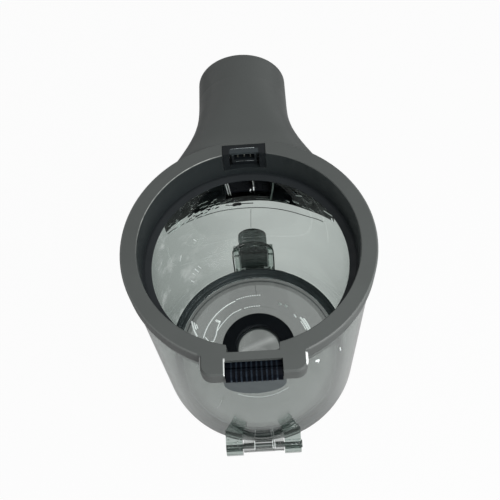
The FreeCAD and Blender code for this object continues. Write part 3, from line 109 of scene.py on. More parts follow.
# Noise values between which clear plastic goes from polished to hazy
HAZE_SPAN = (0.45, 0.75)

# How far clear plastic's tone strays from its tint
TINT_SPREAD = 0.05

# Colour that thick clear plastic takes on
DEPTH_COLOUR = (0.0, 0.16, 0.09)


class Nodes:
    """A material's node tree with short calls."""

    def __init__(self, name):
        self.material = bpy.data.materials.new(name)
        self.material.use_nodes = True
        self.tree = self.material.node_tree
        self.tree.nodes.clear()
        self.output = self.add("ShaderNodeOutputMaterial")
        self.place = self.add("ShaderNodeTexCoord").outputs["Object"]

    def add(self, kind, **settings):
        node = self.tree.nodes.new(kind)
        for key, value in settings.items():
            setattr(node, key, value)
        return node

    def link(self, source, target):
        self.tree.links.new(source, target)

    def fill(self, socket, value):
        """Set a socket to a number or a colour, or link it to another socket."""
        if isinstance(value, (tuple, list)):
            socket.default_value = (*value, 1)
        elif isinstance(value, (int, float)):
            socket.default_value = value
        else:
            self.link(value, socket)

    def noise(self, scale, detail=3.0, roughness=0.5):
        texture = self.add("ShaderNodeTexNoise")
        texture.inputs["Scale"].default_value = scale
        texture.inputs["Detail"].default_value = detail
        texture.inputs["Roughness"].default_value = roughness
        self.link(self.place, texture.inputs["Vector"])
        return texture.outputs[0]

    def ramp(self, value, low, high, first, second):
        ramp = self.add("ShaderNodeMapRange")
        ramp.inputs["From Min"].default_value = low
        ramp.inputs["From Max"].default_value = high
        ramp.inputs["To Min"].default_value = first
        ramp.inputs["To Max"].default_value = second
        self.link(value, ramp.inputs["Value"])
        return ramp.outputs[0]

    def mix(self, factor, first, second):
        mix = self.add("ShaderNodeMix", data_type="RGBA")
        self.fill(mix.inputs[MIX_FACTOR], factor)
        self.fill(mix.inputs[MIX_FIRST], first)
        self.fill(mix.inputs[MIX_SECOND], second)
        return mix.outputs[MIX_RESULT]

    def math(self, operation, first, second=0.0):
        node = self.add("ShaderNodeMath", operation=operation)
        self.fill(node.inputs[0], first)
        self.fill(node.inputs[1], second)
        return node.outputs[0]

    def bump(self, height, distance, strength=1.0):
        bump = self.add("ShaderNodeBump")
        bump.inputs["Strength"].default_value = strength
        bump.inputs["Distance"].default_value = distance
        self.link(height, bump.inputs["Height"])
        return bump.outputs[0]

    def show(self, share, first, second):
        """Put a blend of two shaders on the surface."""
        blend = self.add("ShaderNodeMixShader")
        self.link(share, blend.inputs[0])
        self.link(first, blend.inputs[1])
        self.link(second, blend.inputs[2])
        self.link(blend.outputs[0], self.output.inputs["Surface"])


def surface(name, colour, spread=0.08, rough=0.5, rough_spread=0.06, grain=900.0, depth=0.00002,
            cloud=60.0, specular=0.25, metal=0.0, mask=None, glow=0.0):
    """Moulded or metal surface: cloudy colour, uneven roughness and a fine grain."""
    n = Nodes(name)
    shader = n.add("ShaderNodeBsdfPrincipled")
    cloudy = n.noise(cloud, 4.0, 0.6)
    dark = [c * (1 - spread) for c in colour]
    light = [c * (1 + spread) for c in colour]
    tone = n.mix(n.ramp(cloudy, *CLOUD_SPAN, 0.0, 1.0), dark, light)
    if mask:
        tone = mask(n, tone)
    n.link(tone, shader.inputs["Base Color"])
    patches = n.noise(cloud * 2.5, 3.0)
    n.link(n.ramp(patches, *CLOUD_SPAN, rough - rough_spread, rough + rough_spread),
           shader.inputs["Roughness"])
    n.link(n.bump(n.noise(grain, 2.0), depth), shader.inputs["Normal"])
    shader.inputs["Metallic"].default_value = metal
    shader.inputs["Specular IOR Level"].default_value = specular
    # Glow: the surface gives off light in its own colour, painted light for marks that are no lamps
    shader.inputs["Emission Color"].default_value = (*colour, 1)
    shader.inputs["Emission Strength"].default_value = glow
    n.link(shader.outputs[0], n.output.inputs["Surface"])
    return n.material


def clear(name, tint, rough=0.03, haze=0.02, wave=40.0, depth=0.00001, mask=None, density=0.0,
          index=1.49):
    """Clear tinted plastic: lamp light passes, and density darkens it where it is thick."""
    n = Nodes(name)
    shader = n.add("ShaderNodeBsdfPrincipled")
    cloudy = n.noise(25.0, 3.0, 0.6)
    dark = [c * (1 - TINT_SPREAD) for c in tint]
    light = [c * (1 + TINT_SPREAD) for c in tint]
    tone = n.mix(n.ramp(cloudy, *CLOUD_SPAN, 0.0, 1.0), dark, light)
    if mask:
        tone = mask(n, tone)
    n.link(tone, shader.inputs["Base Color"])
    n.link(n.ramp(n.noise(140.0, 4.0), *HAZE_SPAN, rough, rough + haze), shader.inputs["Roughness"])
    n.link(n.bump(n.noise(wave, 2.0), depth, 0.5), shader.inputs["Normal"])
    shader.inputs["IOR"].default_value = index
    shader.inputs["Transmission Weight"].default_value = 1.0
    passing = n.add("ShaderNodeBsdfTransparent")
    passing.inputs["Color"].default_value = (*tint, 1)
    rays = n.add("ShaderNodeLightPath")
    share = n.math("MAXIMUM", rays.outputs["Is Shadow Ray"], rays.outputs["Is Diffuse Ray"])
    n.show(share, shader.outputs[0], passing.outputs[0])
    if density:
        inside = n.add("ShaderNodeVolumeAbsorption")
        inside.inputs["Color"].default_value = (*DEPTH_COLOUR, 1)
        inside.inputs["Density"].default_value = density
        n.link(inside.outputs[0], n.output.inputs["Volume"])
    return n.material


# Widths in metres over which the edge of a mark fades
CRISP = 0.0001
CLOSE = 0.0002
EVEN = 0.0003
SOFT = 0.0004


class Spot:
    """Where a point of the surface lies: x, y, z and distance from the bin's axis, in metres."""

    def __init__(self, n):
        self.n = n
        split = n.add("ShaderNodeSeparateXYZ")
        n.link(n.place, split.inputs[0])
        self.x, self.y, self.z = split.outputs
        self.out = n.math("ABSOLUTE", self.x)
        flat = n.add("ShaderNodeCombineXYZ")
        n.link(self.x, flat.inputs[0])
        n.link(self.y, flat.inputs[1])
        length = n.add("ShaderNodeVectorMath", operation="LENGTH")
        n.link(flat.outputs[0], length.inputs[0])
        self.radius = length.outputs["Value"]

    def below(self, value, limit, soft=EVEN):
        return self.n.ramp(value, limit - soft, limit + soft, 1.0, 0.0)

    def above(self, value, limit, soft=EVEN):
        return self.n.ramp(value, limit - soft, limit + soft, 0.0, 1.0)

    def between(self, value, low, high, soft=EVEN):
        return self.every(self.above(value, low, soft), self.below(value, high, soft))

    def every(self, *shares):
        """Product of shares."""
        whole = shares[0]
        for share in shares[1:]:
            whole = self.n.math("MULTIPLY", whole, share)
        return whole

    def any(self, *shares):
        """Largest of shares."""
        whole = shares[0]
        for share in shares[1:]:
            whole = self.n.math("MAXIMUM", whole, share)
        return whole


# Places on the collar, in metres
SKIRT_RADIUS = 0.0489
SKIRT_TOP = 0.1236
SADDLE_INSIDE = 0.0550
SADDLE_OUTSIDE = 0.0566
SADDLE_TOP = 0.1165
SLOT_HALF = 0.0092
SLOT_SPAN = (0.044, 0.0535)
SLOT_TOP = 0.1226
INNER_EDGE = (0.04878, 0.04898)
OUTER_EDGE = (0.0553, 0.0561)
HOUSING_HALF = 0.0222
NECK_START = 0.058

# Tones on the collar
SKIRT_SHADE_TONE = (0.014, 0.018, 0.0195)
SADDLE_SHADE_TONE = (0.004, 0.006, 0.008)
NECK_SHADE_TONE = (0.066, 0.073, 0.071)
OUTER_EDGE_HIGHLIGHT_TONE = (0.19, 0.2, 0.195)
INNER_EDGE_HIGHLIGHT_TONE = (0.4, 0.42, 0.4)
CORNER_TONE = (0.85, 0.88, 0.87)


def collar_shade_and_highlights(n, tone):
    """Painted shade darkens the skirt, the slot, the saddle behind the wall and the neck; painted
    highlights light the edges.
    """
    spot = Spot(n)
    skirt = spot.every(spot.below(spot.radius, SKIRT_RADIUS, CRISP), spot.below(spot.z, SKIRT_TOP))
    saddle = spot.every(spot.below(spot.radius, SADDLE_OUTSIDE, CLOSE),
                        spot.above(spot.radius, SADDLE_INSIDE), spot.below(spot.z, SADDLE_TOP))
    slot = spot.every(spot.below(spot.out, SLOT_HALF), spot.between(spot.y, *SLOT_SPAN),
                      spot.below(spot.z, SLOT_TOP))
    # Painted shade: the skirt inside the collar and the slot for the terminal block are darkened as
    # if in shade
    tone = n.mix(spot.any(skirt, slot), tone, SKIRT_SHADE_TONE)
    # Painted shade: the saddle seen through the wall is darkened as if dimly lit
    tone = n.mix(saddle, tone, SADDLE_SHADE_TONE)
    # Painted highlight: a thin light line on the bore's top edge at the back left, broken up by
    # noise
    highlight_breakup = n.ramp(n.noise(260.0, 4.0, 0.7), 0.42, 0.6, 0.0, 1.0)
    back_left = spot.every(spot.above(n.math("SUBTRACT", spot.y, spot.x), 0.052, 0.008),
                           spot.below(spot.x, -0.013, 0.003))
    inner_highlight = spot.every(spot.between(spot.radius, *INNER_EDGE, 0.00005),
                            spot.above(spot.z, 0.1238, CRISP), back_left,
                            n.ramp(highlight_breakup, 0.0, 1.0, 0.3, 0.9))
    # Painted highlight: a light line along the collar's outer top edge, kept off the neck
    outer_highlight = spot.every(spot.above(spot.radius, OUTER_EDGE[0], CLOSE),
                            spot.below(spot.radius, OUTER_EDGE[1], CRISP),
                            spot.above(spot.z, 0.1234, CLOSE), spot.below(spot.y, 0.030, 0.002),
                            spot.any(spot.above(spot.out, HOUSING_HALF), spot.above(spot.y, 0.0)),
                            0.45)
    # Painted shade: the neck is darker, as if less lit than the collar's front
    tone = n.mix(spot.every(spot.above(spot.y, NECK_START, 0.004), 0.6), tone, NECK_SHADE_TONE)
    tone = n.mix(outer_highlight, tone, OUTER_EDGE_HIGHLIGHT_TONE)
    tone = n.mix(inner_highlight, tone, INNER_EDGE_HIGHLIGHT_TONE)
    # Corners of the button's housing that catch light
    high = spot.above(spot.z, 0.1231, CLOSE)
    right = spot.every(high, spot.between(spot.x, 0.0206, 0.0218, CRISP),
                       spot.between(spot.y, -0.0575, -0.0525, SOFT))
    left = spot.every(high, spot.between(spot.x, -0.0216, -0.0211, CRISP),
                      spot.between(spot.y, -0.0580, -0.0520, SOFT), 0.5)
    slit = spot.every(high, spot.between(spot.x, -0.0120, -0.01135, CRISP),
                      spot.below(spot.y, -0.0535, SOFT), 0.8)
    return n.mix(spot.any(right, left, slit), tone, CORNER_TONE)


# Places on the clear wall, in metres
WALL_RADIUS = 0.0557
FRONT_START = -0.012
RIM_SPAN = (0.004, 0.030)
LATCH_HALF = 0.0102
LATCH_FRONT = 0.0530
LATCH_TOP = 0.0325
LUG_TOP = 0.02

# Tones on the clear wall
LEFT_SHADE_TONE = (0.44, 0.48, 0.46)
GLARE_PATCH_TONE = (0.96, 0.98, 0.97)
FRONT_LIT_TONE = (0.98, 0.99, 0.985)
LUG_TONE = (0.86, 0.885, 0.875)
RIM_TONE = (0.07, 0.08, 0.075)
LATCH_TONE = (0.06, 0.075, 0.07)


def wall_tint_and_painted_light(n, tone):
    """Painted light makes the wall clearer in front and paints reflection patches at its back left;
    painted shade darkens its lower rim and left. It is also clearer at its lugs and darker at its
    latch.
    """
    spot = Spot(n)
    wall = spot.below(spot.radius, WALL_RADIUS, CRISP)
    front = spot.every(spot.below(spot.y, FRONT_START, 0.02), wall)
    rim = spot.every(n.ramp(spot.z, *RIM_SPAN, 0.4, 0.0), front)
    latch = spot.every(spot.below(spot.out, LATCH_HALF, SOFT),
                       spot.above(spot.y, LATCH_FRONT, CLOSE),
                       spot.below(spot.z, LATCH_TOP, 0.0006))
    left = spot.every(n.ramp(spot.x, -0.05, 0.0, 0.8, 0.0), wall)
    # Painted reflections: milky light patches on the wall's back left
    glare_patches = spot.every(n.ramp(n.noise(90.0, 4.0, 0.6), 0.54, 0.66, 0.0, 0.7),
                       n.ramp(spot.x, -0.044, -0.020, 1.0, 0.0), spot.above(spot.y, 0.004, 0.004),
                       wall)
    lugs = spot.every(spot.above(spot.radius, WALL_RADIUS, CRISP), spot.below(spot.y, 0.0),
                      spot.below(spot.z, LUG_TOP))
    # Painted shade: the left of the wall is tinted darker, as if less lit
    tone = n.mix(left, tone, LEFT_SHADE_TONE)
    tone = n.mix(glare_patches, tone, GLARE_PATCH_TONE)
    # Painted light: the front half of the wall takes a lighter tint than the back, to match how
    # bright it looks lit
    tone = n.mix(spot.every(front, 0.75), tone, FRONT_LIT_TONE)
    tone = n.mix(lugs, tone, LUG_TONE)
    # Painted shade: the front of the wall darkens towards its lower rim
    tone = n.mix(rim, tone, RIM_TONE)
    return n.mix(latch, tone, LATCH_TONE)


# Places on the lid, in metres
STEP_START = 0.0422
STEP_END = 0.0466
GROOVE = (0.0446, 0.0451)
UNDER_SEAL = (0.0121, 0.0146)
LID_RIM = 0.0500
LID_RIM_TOP = 0.003
KNUCKLE_START = 0.0535
STREAK_SLOPE = 0.388
STREAK_SHIFT = 0.0021
STREAK_REACH = 0.0112
MIDDLE_RADIUS = 0.0119

# Tones on the lid
STEP_SHADE_TONE = (0.10, 0.11, 0.105)
SHADOW_LINE_TONE = (0.02, 0.025, 0.025)
MIDDLE_TONE = (0.16, 0.17, 0.165)
STREAK_HIGHLIGHT_TONE = (0.8, 0.84, 0.82)
LID_RIM_TONE = (0.10, 0.115, 0.11)
KNUCKLE_TONE = (0.6, 0.62, 0.61)


def lid_tint_and_painted_light(n, tone):
    """The lid is darker on its step (painted shade), its rim and its middle, and clearer at the
    hinge's knuckle; a painted shadow rings the centre seal and lines the groove, and a painted
    highlight streaks its middle.
    """
    spot = Spot(n)
    step = spot.every(spot.above(spot.radius, STEP_START, CLOSE), spot.below(spot.radius, STEP_END),
                      0.6)
    groove = spot.between(spot.radius, *GROOVE, CRISP)
    under = spot.between(spot.radius, *UNDER_SEAL, CRISP)
    # Painted highlight: a pale diagonal streak across the lid's middle
    slope = n.math("MULTIPLY", spot.x, STREAK_SLOPE)
    lean = n.math("SUBTRACT", n.math("SUBTRACT", spot.y, slope), STREAK_SHIFT)
    highlight_streak = spot.every(n.ramp(n.math("ABSOLUTE", lean), 0.0, 0.0030, 0.3, 0.0),
                        spot.below(spot.radius, STREAK_REACH, 0.002))
    rim = spot.every(spot.above(spot.radius, LID_RIM, 0.0005), spot.below(spot.z, LID_RIM_TOP))
    knuckle = spot.every(spot.above(spot.radius, KNUCKLE_START, CLOSE), spot.below(spot.y, 0.0))
    # Painted shade: the step just inside the seal is darker
    tone = n.mix(step, tone, STEP_SHADE_TONE)
    # Painted shadow: a dark ring under the centre seal's inner edge, and a dark line where the
    # groove lies in shade
    tone = n.mix(spot.any(groove, under), tone, SHADOW_LINE_TONE)
    tone = n.mix(spot.every(spot.below(spot.radius, MIDDLE_RADIUS), 0.35), tone, MIDDLE_TONE)
    tone = n.mix(highlight_streak, tone, STREAK_HIGHLIGHT_TONE)
    tone = n.mix(rim, tone, LID_RIM_TONE)
    return n.mix(knuckle, tone, KNUCKLE_TONE)


# The button's ribs: two millimetres apart, one of them a millimetre right of the middle
RIB_PITCH = 0.002
RIB_SHIFT = 0.001
RIBS_HALF = 0.0098
RIB_FOOT = 0.1212
RIB_HIGHLIGHT_TONE = (0.016, 0.024, 0.034)
RIB_FOOT_HIGHLIGHT_TONE = (0.06, 0.075, 0.09)


def ribs(n, tone):
    """Painted highlights: the button's ribs are paler along their crests, most of all at their
    lower ends.
    """
    spot = Spot(n)
    across = n.math("MULTIPLY", n.math("SUBTRACT", spot.x, RIB_SHIFT), 2 * math.pi / RIB_PITCH)
    crest = spot.every(n.ramp(n.math("COSINE", across), 0.2, 0.9, 0.0, 1.0),
                       spot.below(spot.out, RIBS_HALF))
    highlight_breakup = n.ramp(n.noise(700.0, 3.0, 0.6), 0.35, 0.65, 0.4, 1.0)
    lit_crests = spot.every(crest, highlight_breakup)
    tone = n.mix(lit_crests, tone, RIB_HIGHLIGHT_TONE)
    return n.mix(spot.every(lit_crests, spot.below(spot.z, RIB_FOOT)), tone, RIB_FOOT_HIGHLIGHT_TONE)


# Painted sheen: a paler band on the terminal block, in metres
PALE_BOTTOM = 0.1222
PALE_SPAN = (0.0485, 0.0512)
PALE_HALF = 0.0068
PALE_SHEEN_TONE = (0.032, 0.04, 0.044)


def terminal_painted_sheen(n, tone):
    """The terminal block has a paler band below its top edge, painted sheen standing in for light
    on that face.
    """
    spot = Spot(n)
    band = spot.every(spot.above(spot.z, PALE_BOTTOM), spot.between(spot.y, *PALE_SPAN),
                      spot.below(spot.out, PALE_HALF))
    return n.mix(band, tone, PALE_SHEEN_TONE)


# Grain of the surfaces: its scale and its depth in metres
MOULDED = {"grain": 1400.0, "depth": 0.00001}
DULL = {"grain": 1200.0, "depth": 0.00001}
RUBBER = {"rough_spread": 0.08, "grain": 1000.0, "depth": 0.00002}
METAL = {"grain": 1500.0, "depth": 0.000005, "metal": 1.0}
WIRE = {"spread": 0.1, "rough_spread": 0.08, "grain": 1200.0, "depth": 0.00001}
STROKE = {"rough_spread": 0.05, "grain": 1500.0, "depth": 0.000005}

grey = surface("grey_plastic", (0.081, 0.0885, 0.0855), spread=0.05, rough=0.42, rough_spread=0.05,
               cloud=45.0, mask=collar_shade_and_highlights, **MOULDED)
carrier_grey = surface("carrier_grey", (0.06, 0.076, 0.081), spread=0.05, rough=0.4,
                       rough_spread=0.05, **MOULDED)
dark_duct = surface("dark_duct", (0.012, 0.014, 0.016), spread=0.1, rough=0.3, **DULL)
black_plastic = surface("black_plastic", (0.006, 0.008, 0.0095), spread=0.1, rough=0.4,
                        specular=0.15, mask=terminal_painted_sheen, **DULL)
button_black = surface("button_black", (0.0006, 0.0012, 0.003), spread=0.15, rough=0.35,
                       grain=1500.0, depth=0.00001, specular=0.05, mask=ribs)
dark_rubber = surface("dark_rubber", (0.010, 0.013, 0.015), spread=0.1, rough=0.6, **RUBBER)
black_rubber = surface("black_rubber", (0.002, 0.003, 0.005), spread=0.15, rough=0.55,
                       specular=0.12, **RUBBER)
seal_rubber = surface("seal_rubber", (0.040, 0.048, 0.052), spread=0.25, rough=0.5, **RUBBER)
steel = surface("steel", (0.5, 0.51, 0.52), spread=0.05, rough=0.3, **METAL)
pin_steel = surface("pin_steel", (0.15, 0.165, 0.16), spread=0.1, rough=0.5, **METAL)
# Contact metal, darkened as painted shade of the dark recess it sits in
shaded_contact_metal = surface("contact_metal", (0.10, 0.10, 0.09), spread=0.06, rough=0.45, **METAL)
wire_cover = surface("wire_cover", (0.05, 0.05, 0.055), **WIRE)
wire_red = surface("wire_red", (0.35, 0.03, 0.025), **WIRE)
wire_blue = surface("wire_blue", (0.03, 0.09, 0.3), **WIRE)
clear_bin = clear("clear_bin", (0.74, 0.775, 0.755), wave=70.0, depth=0.00002, mask=wall_tint_and_painted_light,
                  density=70.0, index=1.35)
# The lid's tint is much darker than the wall's: painted shade, standing in for the shadowed floor
# seen through it
clear_lid = clear("clear_lid", (0.28, 0.30, 0.29), rough=0.04, mask=lid_tint_and_painted_light)
clear_latch = clear("clear_latch", (0.12, 0.14, 0.135))
mould_dark = surface("mould_dark", (0.05, 0.057, 0.055), spread=0.1, rough=0.3, **STROKE)
# Painted highlights: light strokes that glow, standing in for glints and reflections
painted_glint = surface("painted_glint", (0.72, 0.76, 0.75), spread=0.06, rough=0.3, rough_spread=0.08,
                     grain=1500.0, depth=0.000005, specular=0.5, glow=0.5)
# Painted highlights: softer glowing strokes and spots, standing in for reflections
painted_soft_glint = surface("painted_soft_glint", (0.42, 0.46, 0.45), spread=0.1, rough=0.3, glow=0.3, **STROKE)
# Painted highlights: light stripes and sparkles
painted_stripe_glint = surface("painted_stripe_glint", (0.5, 0.54, 0.53), spread=0.3, rough=0.3, cloud=300.0, **STROKE)
# Painted highlights: fine light lines along edges
painted_edge_glint = surface("painted_edge_glint", (0.35, 0.39, 0.40), spread=0.6, rough=0.25, cloud=400.0,
                     specular=0.5, **STROKE)

FINISH = {
    "collar_housing": grey,
    "neck_cover": grey,
    "cover_screws": steel,
    "collar_seal": dark_rubber,
    "wand_sleeve": dark_duct,
    "inlet_duct": dark_duct,
    "port_vane": dark_duct,
    "inlet_gasket": black_rubber,
    "wand_contact_block": black_plastic,
    "wand_contact_1": shaded_contact_metal,
    "wand_contact_2": shaded_contact_metal,
    "wand_contact_3": shaded_contact_metal,
    "connector_body": black_plastic,
    "connector_blade_1": shaded_contact_metal,
    "connector_blade_2": shaded_contact_metal,
    "connector_blade_3": shaded_contact_metal,
    "wire_1": wire_red,
    "wire_2": wire_cover,
    "wire_3": wire_blue,
    "release_button": button_black,
    "button_spring": steel,
    "button_carrier": carrier_grey,
    "bin_shell": clear_bin,
    "hinge_pin": pin_steel,
    "latch_pin": steel,
    "bottom_lid": clear_lid,
    "lid_gasket": black_rubber,
    "centre_seal": black_rubber,
    "latch_lever": clear_latch,
    "latch_spring": steel,
}

for name, thing in nodes.items():
    for place in thing.material_slots:
        place.material = FINISH[name]


# Pieces: their points are in millimetres

def add_piece(name, points, faces, material, body, sharp=35):
    """Mesh object from points in millimetres."""
    data = bpy.data.meshes.new(name)
    data.from_pydata([(x / 1000, y / 1000, z / 1000) for x, y, z in points], [], faces)
    data.materials.append(material)
    data.shade_smooth()
    data.set_sharp_from_angle(angle=math.radians(sharp))
    piece = bpy.data.objects.new(name, data)
    scene.collection.objects.link(piece)
    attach(piece, body)
    return piece


def rounded(outline, radius, steps=3):
    """Closed outline of (r, z) points with its corners rounded."""
    result = []
    count = len(outline)
    for i in range(count):
        here = Vector(outline[i])
        before = Vector(outline[i - 1]) - here
        after = Vector(outline[(i + 1) % count]) - here
        reach = min(radius, before.length * 0.45, after.length * 0.45)
        start, end = here + before.normalized() * reach, here + after.normalized() * reach
        for step in range(steps + 1):
            t = step / steps
            result.append(start * (1 - t) * (1 - t) + here * 2 * t * (1 - t) + end * t * t)
    return result


def add_ring(name, outline, material, body, around=240):
    """Solid turned about the bin's axis from a closed (r, z) outline."""
    points, faces = [], []
    count = len(outline)
    for i in range(around):
        angle = 2 * math.pi * i / around
        for r, z in outline:
            points.append((r * math.cos(angle), r * math.sin(angle), z))
    for i in range(around):
        for j in range(count):
            k, m = (i + 1) % around, (j + 1) % count
            faces.append((i * count + j, k * count + j, k * count + m, i * count + m))
    return add_piece(name, points, faces, material, body)


# A tube's end narrows to END_WIDTH of its radius over END_REACH of it
END_WIDTH = 0.4
END_REACH = 0.7


def tube_shape(path, radius, sides=8):
    """Points and faces of a tube with narrowed ends along a path."""
    path = [Vector(p) for p in path]
    first = (path[1] - path[0]).normalized()
    last = (path[-1] - path[-2]).normalized()
    spine = ([path[0] - first * radius * END_REACH] + path
             + [path[-1] + last * radius * END_REACH])
    widths = [radius * END_WIDTH] + [radius] * len(path) + [radius * END_WIDTH]
    side = first.cross(Vector((0, 0, 1)))
    if side.length < 0.01:
        side = first.cross(Vector((0, 1, 0)))
    points, faces = [], []
    for i, spot in enumerate(spine):
        ahead = (spine[min(i + 1, len(spine) - 1)] - spine[max(i - 1, 0)]).normalized()
        side = (side - ahead * side.dot(ahead)).normalized()
        other = ahead.cross(side)
        for j in range(sides):
            angle = 2 * math.pi * j / sides
            points.append(spot + (side * math.cos(angle) + other * math.sin(angle)) * widths[i])
    for i in range(len(spine) - 1):
        for j in range(sides):
            k = (j + 1) % sides
            faces.append((i * sides + j, i * sides + k, (i + 1) * sides + k, (i + 1) * sides + j))
    faces.append(tuple(reversed(range(sides))))
    faces.append(tuple((len(spine) - 1) * sides + j for j in range(sides)))
    return points, faces


def add_tubes(name, tubes, material, body):
    """One object of several tubes, each a path and a radius."""
    points, faces = [], []
    for path, radius in tubes:
        more, sides = tube_shape(path, radius)
        faces += [tuple(len(points) + i for i in face) for face in sides]
        points += more
    return add_piece(name, points, faces, material, body, 60)


def smooth_path(spots, steps=8):
    """Smooth path through spots."""
    spots = [Vector(p) for p in spots]
    ends = [spots[0] * 2 - spots[1]] + spots + [spots[-1] * 2 - spots[-2]]
    path = []
    for i in range(1, len(ends) - 2):
        a, b, c, d = ends[i - 1:i + 3]
        for step in range(steps):
            t = step / steps
            path.append(0.5 * (2 * b + (c - a) * t + (2 * a - 5 * b + 4 * c - d) * t * t
                               + (3 * b - a - 3 * c + d) * t ** 3))
    path.append(spots[-1])
    return path


def on_wall(spots, radius, side=1):
    """Path through (x, z) spots on a wall of that radius: side 1 is its back, -1 its front."""
    path = smooth_path([(x, 0, z) for x, z in spots])
    return [(p.x, side * math.sqrt(radius * radius - p.x * p.x), p.z) for p in path]


def in_front(spots, radius):
    """Path through (x, z) spots on the front of a wall of that radius."""
    return on_wall(spots, radius, -1)


def at_height(spots, z):
    """Path through (x, y) spots at one height."""
    return [(x, y, z) for x, y in spots]


def arc(radius, start, end, z, steps=40):
    """Arc about the bin's axis between two angles in degrees."""
    angles = [math.radians(start + (end - start) * i / steps) for i in range(steps + 1)]
    return [(radius * math.cos(a), radius * math.sin(a), z) for a in angles]


def dots(radius, start, end, count, z):
    """Short strokes along an arc."""
    step = (end - start) / count
    return [arc(radius, start + i * step, start + (i + 0.5) * step, z, 3) for i in range(count)]


# Seal clipped over the lid's raised ring, with a flat foot on the step inside it
SEAL_PROFILE = [
    (50.2, 3.1), (51.35, 3.35), (51.5, 5.5), (50.9, 6.3), (50.3, 6.3), (50.1, 5.95), (49.9, 6.3),
    (49.6, 6.2), (48.9, 4.9), (48.5, 4.6), (48.2, 4.3), (47.9, 4.6), (47.0, 4.4), (46.4, 3.7),
    (46.6, 3.22), (48.7, 3.22), (49.4, 5.4), (50.2, 5.5)]
SEAL_ROUNDING = 0.12
rim_seal = add_ring("rim_seal", rounded(SEAL_PROFILE, SEAL_ROUNDING), seal_rubber, "lid")
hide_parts("lid_gasket")
# Painted highlight: a light line round the seal's inner edge
add_tubes("seal_edge_glint", [(arc(46.15, 0, 360, 3.35, 180), 0.16)], painted_edge_glint, "lid")

# Parting lines of the moulds
add_tubes("wall_mould_line", [(on_wall([(0.9, 72), (0.4, 62), (0.0, 53)], 51.8), 0.1)], mould_dark,
          "bin")
add_tubes("lid_mould_line", [(at_height([(-0.4, 42.5), (0.2, 34.2)], 1.62), 0.12)], mould_dark,
          "lid")

# Edges of the lid's band catch light, along its top and just under it
BAND_TOP = 2.75
BAND_SIDE = 2.7
BAND_LOW = 2.5
DOT_WIDTH = 0.28
band_dots = dots(34.3, 86, 112, 11, BAND_TOP) + dots(27.0, 86, 108, 7, BAND_TOP)
band_strokes = [
    (arc(33.8, 113, 166, BAND_TOP), 0.34),
    (at_height([(-31.6, 8.2), (-29.4, 5.2), (-26.8, 5.3), (-25.2, 9.5), (-24.3, 14.0),
                (-22.6, 18.3)], BAND_TOP), 0.36),
    (smooth_path(at_height([(-24.2, 12.4), (-20.9, 17.0), (-15.3, 22.6), (-9.6, 25.4)], BAND_TOP)),
     0.26),
    (at_height([(-25.0, 18.9), (-23.0, 17.9)], BAND_TOP), 0.8),
    (arc(31.3, 17, 34, BAND_TOP), 0.6),
    (arc(32.6, 17, 31, BAND_TOP), 0.45),
    (arc(30.0, 19, 30, BAND_TOP), 0.3),
    (at_height([(22.4, 19.8), (23.3, 18.0)], BAND_SIDE), 0.35),
    (at_height([(-39.9, 19.2), (-38.6, 13.6), (-36.8, 9.4)], BAND_SIDE), 0.5),
    (at_height([(-38.4, 18.2), (-37.2, 13.9)], BAND_SIDE), 0.4),
    (at_height([(-37.0, 17.0), (-36.2, 14.4)], BAND_SIDE), 0.3)]
add_tubes("band_edges", [(path, DOT_WIDTH) for path in band_dots] + band_strokes, painted_glint, "lid")
add_tubes("band_spots", [(at_height([(13.9, 27.8), (14.8, 27.2)], BAND_LOW), 0.8),
                         (at_height([(17.4, 26.4), (18.1, 25.5)], BAND_LOW), 0.8)], painted_soft_glint,
          "lid")

# Painted shade: a dark sheet between the wall and the neck's saddle, standing in for the shade
# there; its lower edge as (x, z), its inside and outside
SHADE_SHEET_LOW = [(-44.0, 84.9), (-35.9, 83.1), (-25.6, 80.6), (-9.9, 77.6), (2.5, 77.4), (27.1, 78.9),
           (36.8, 81.7), (44.2, 85.5)]
SHADE_SHEET_RADII = (54.88, 55.2)
SHADE_SHEET_EDGE = 0.3
SHADE_SHEET_HEIGHT = 12.0
SHADE_SHEET_HEIGHT_AT_PORT = 5.8
PORT_HALF = 12.5
SHADE_SHEET_TAPER_END = 44.6


def add_shade_sheet():
    """Curved strip that is lower under the port and tapers to the right."""
    points, faces = [], []
    lower = smooth_path([(x, 0, z) for x, z in SHADE_SHEET_LOW], 6)
    for p in lower:
        taper = 1.0 if p.x < 0 else math.sqrt(max(0.0, 1 - (p.x / SHADE_SHEET_TAPER_END) ** 4))
        height = SHADE_SHEET_HEIGHT_AT_PORT if abs(p.x) < PORT_HALF else SHADE_SHEET_HEIGHT
        for radius in SHADE_SHEET_RADII:
            for z in (p.z, p.z + SHADE_SHEET_EDGE + height * taper):
                points.append((p.x, math.sqrt(radius * radius - p.x * p.x), z))
    for i in range(len(lower) - 1):
        a, b = i * 4, i * 4 + 4
        faces += [(a, b, b + 1, a + 1), (a + 2, a + 3, b + 3, b + 2), (a, a + 2, b + 2, b),
                  (a + 1, b + 1, b + 3, a + 3)]
    end = (len(lower) - 1) * 4
    faces += [(0, 1, 3, 2), (end, end + 2, end + 3, end + 1)]
    add_piece("saddle_shade_sheet", points, faces, black_rubber, "bin")


add_shade_sheet()

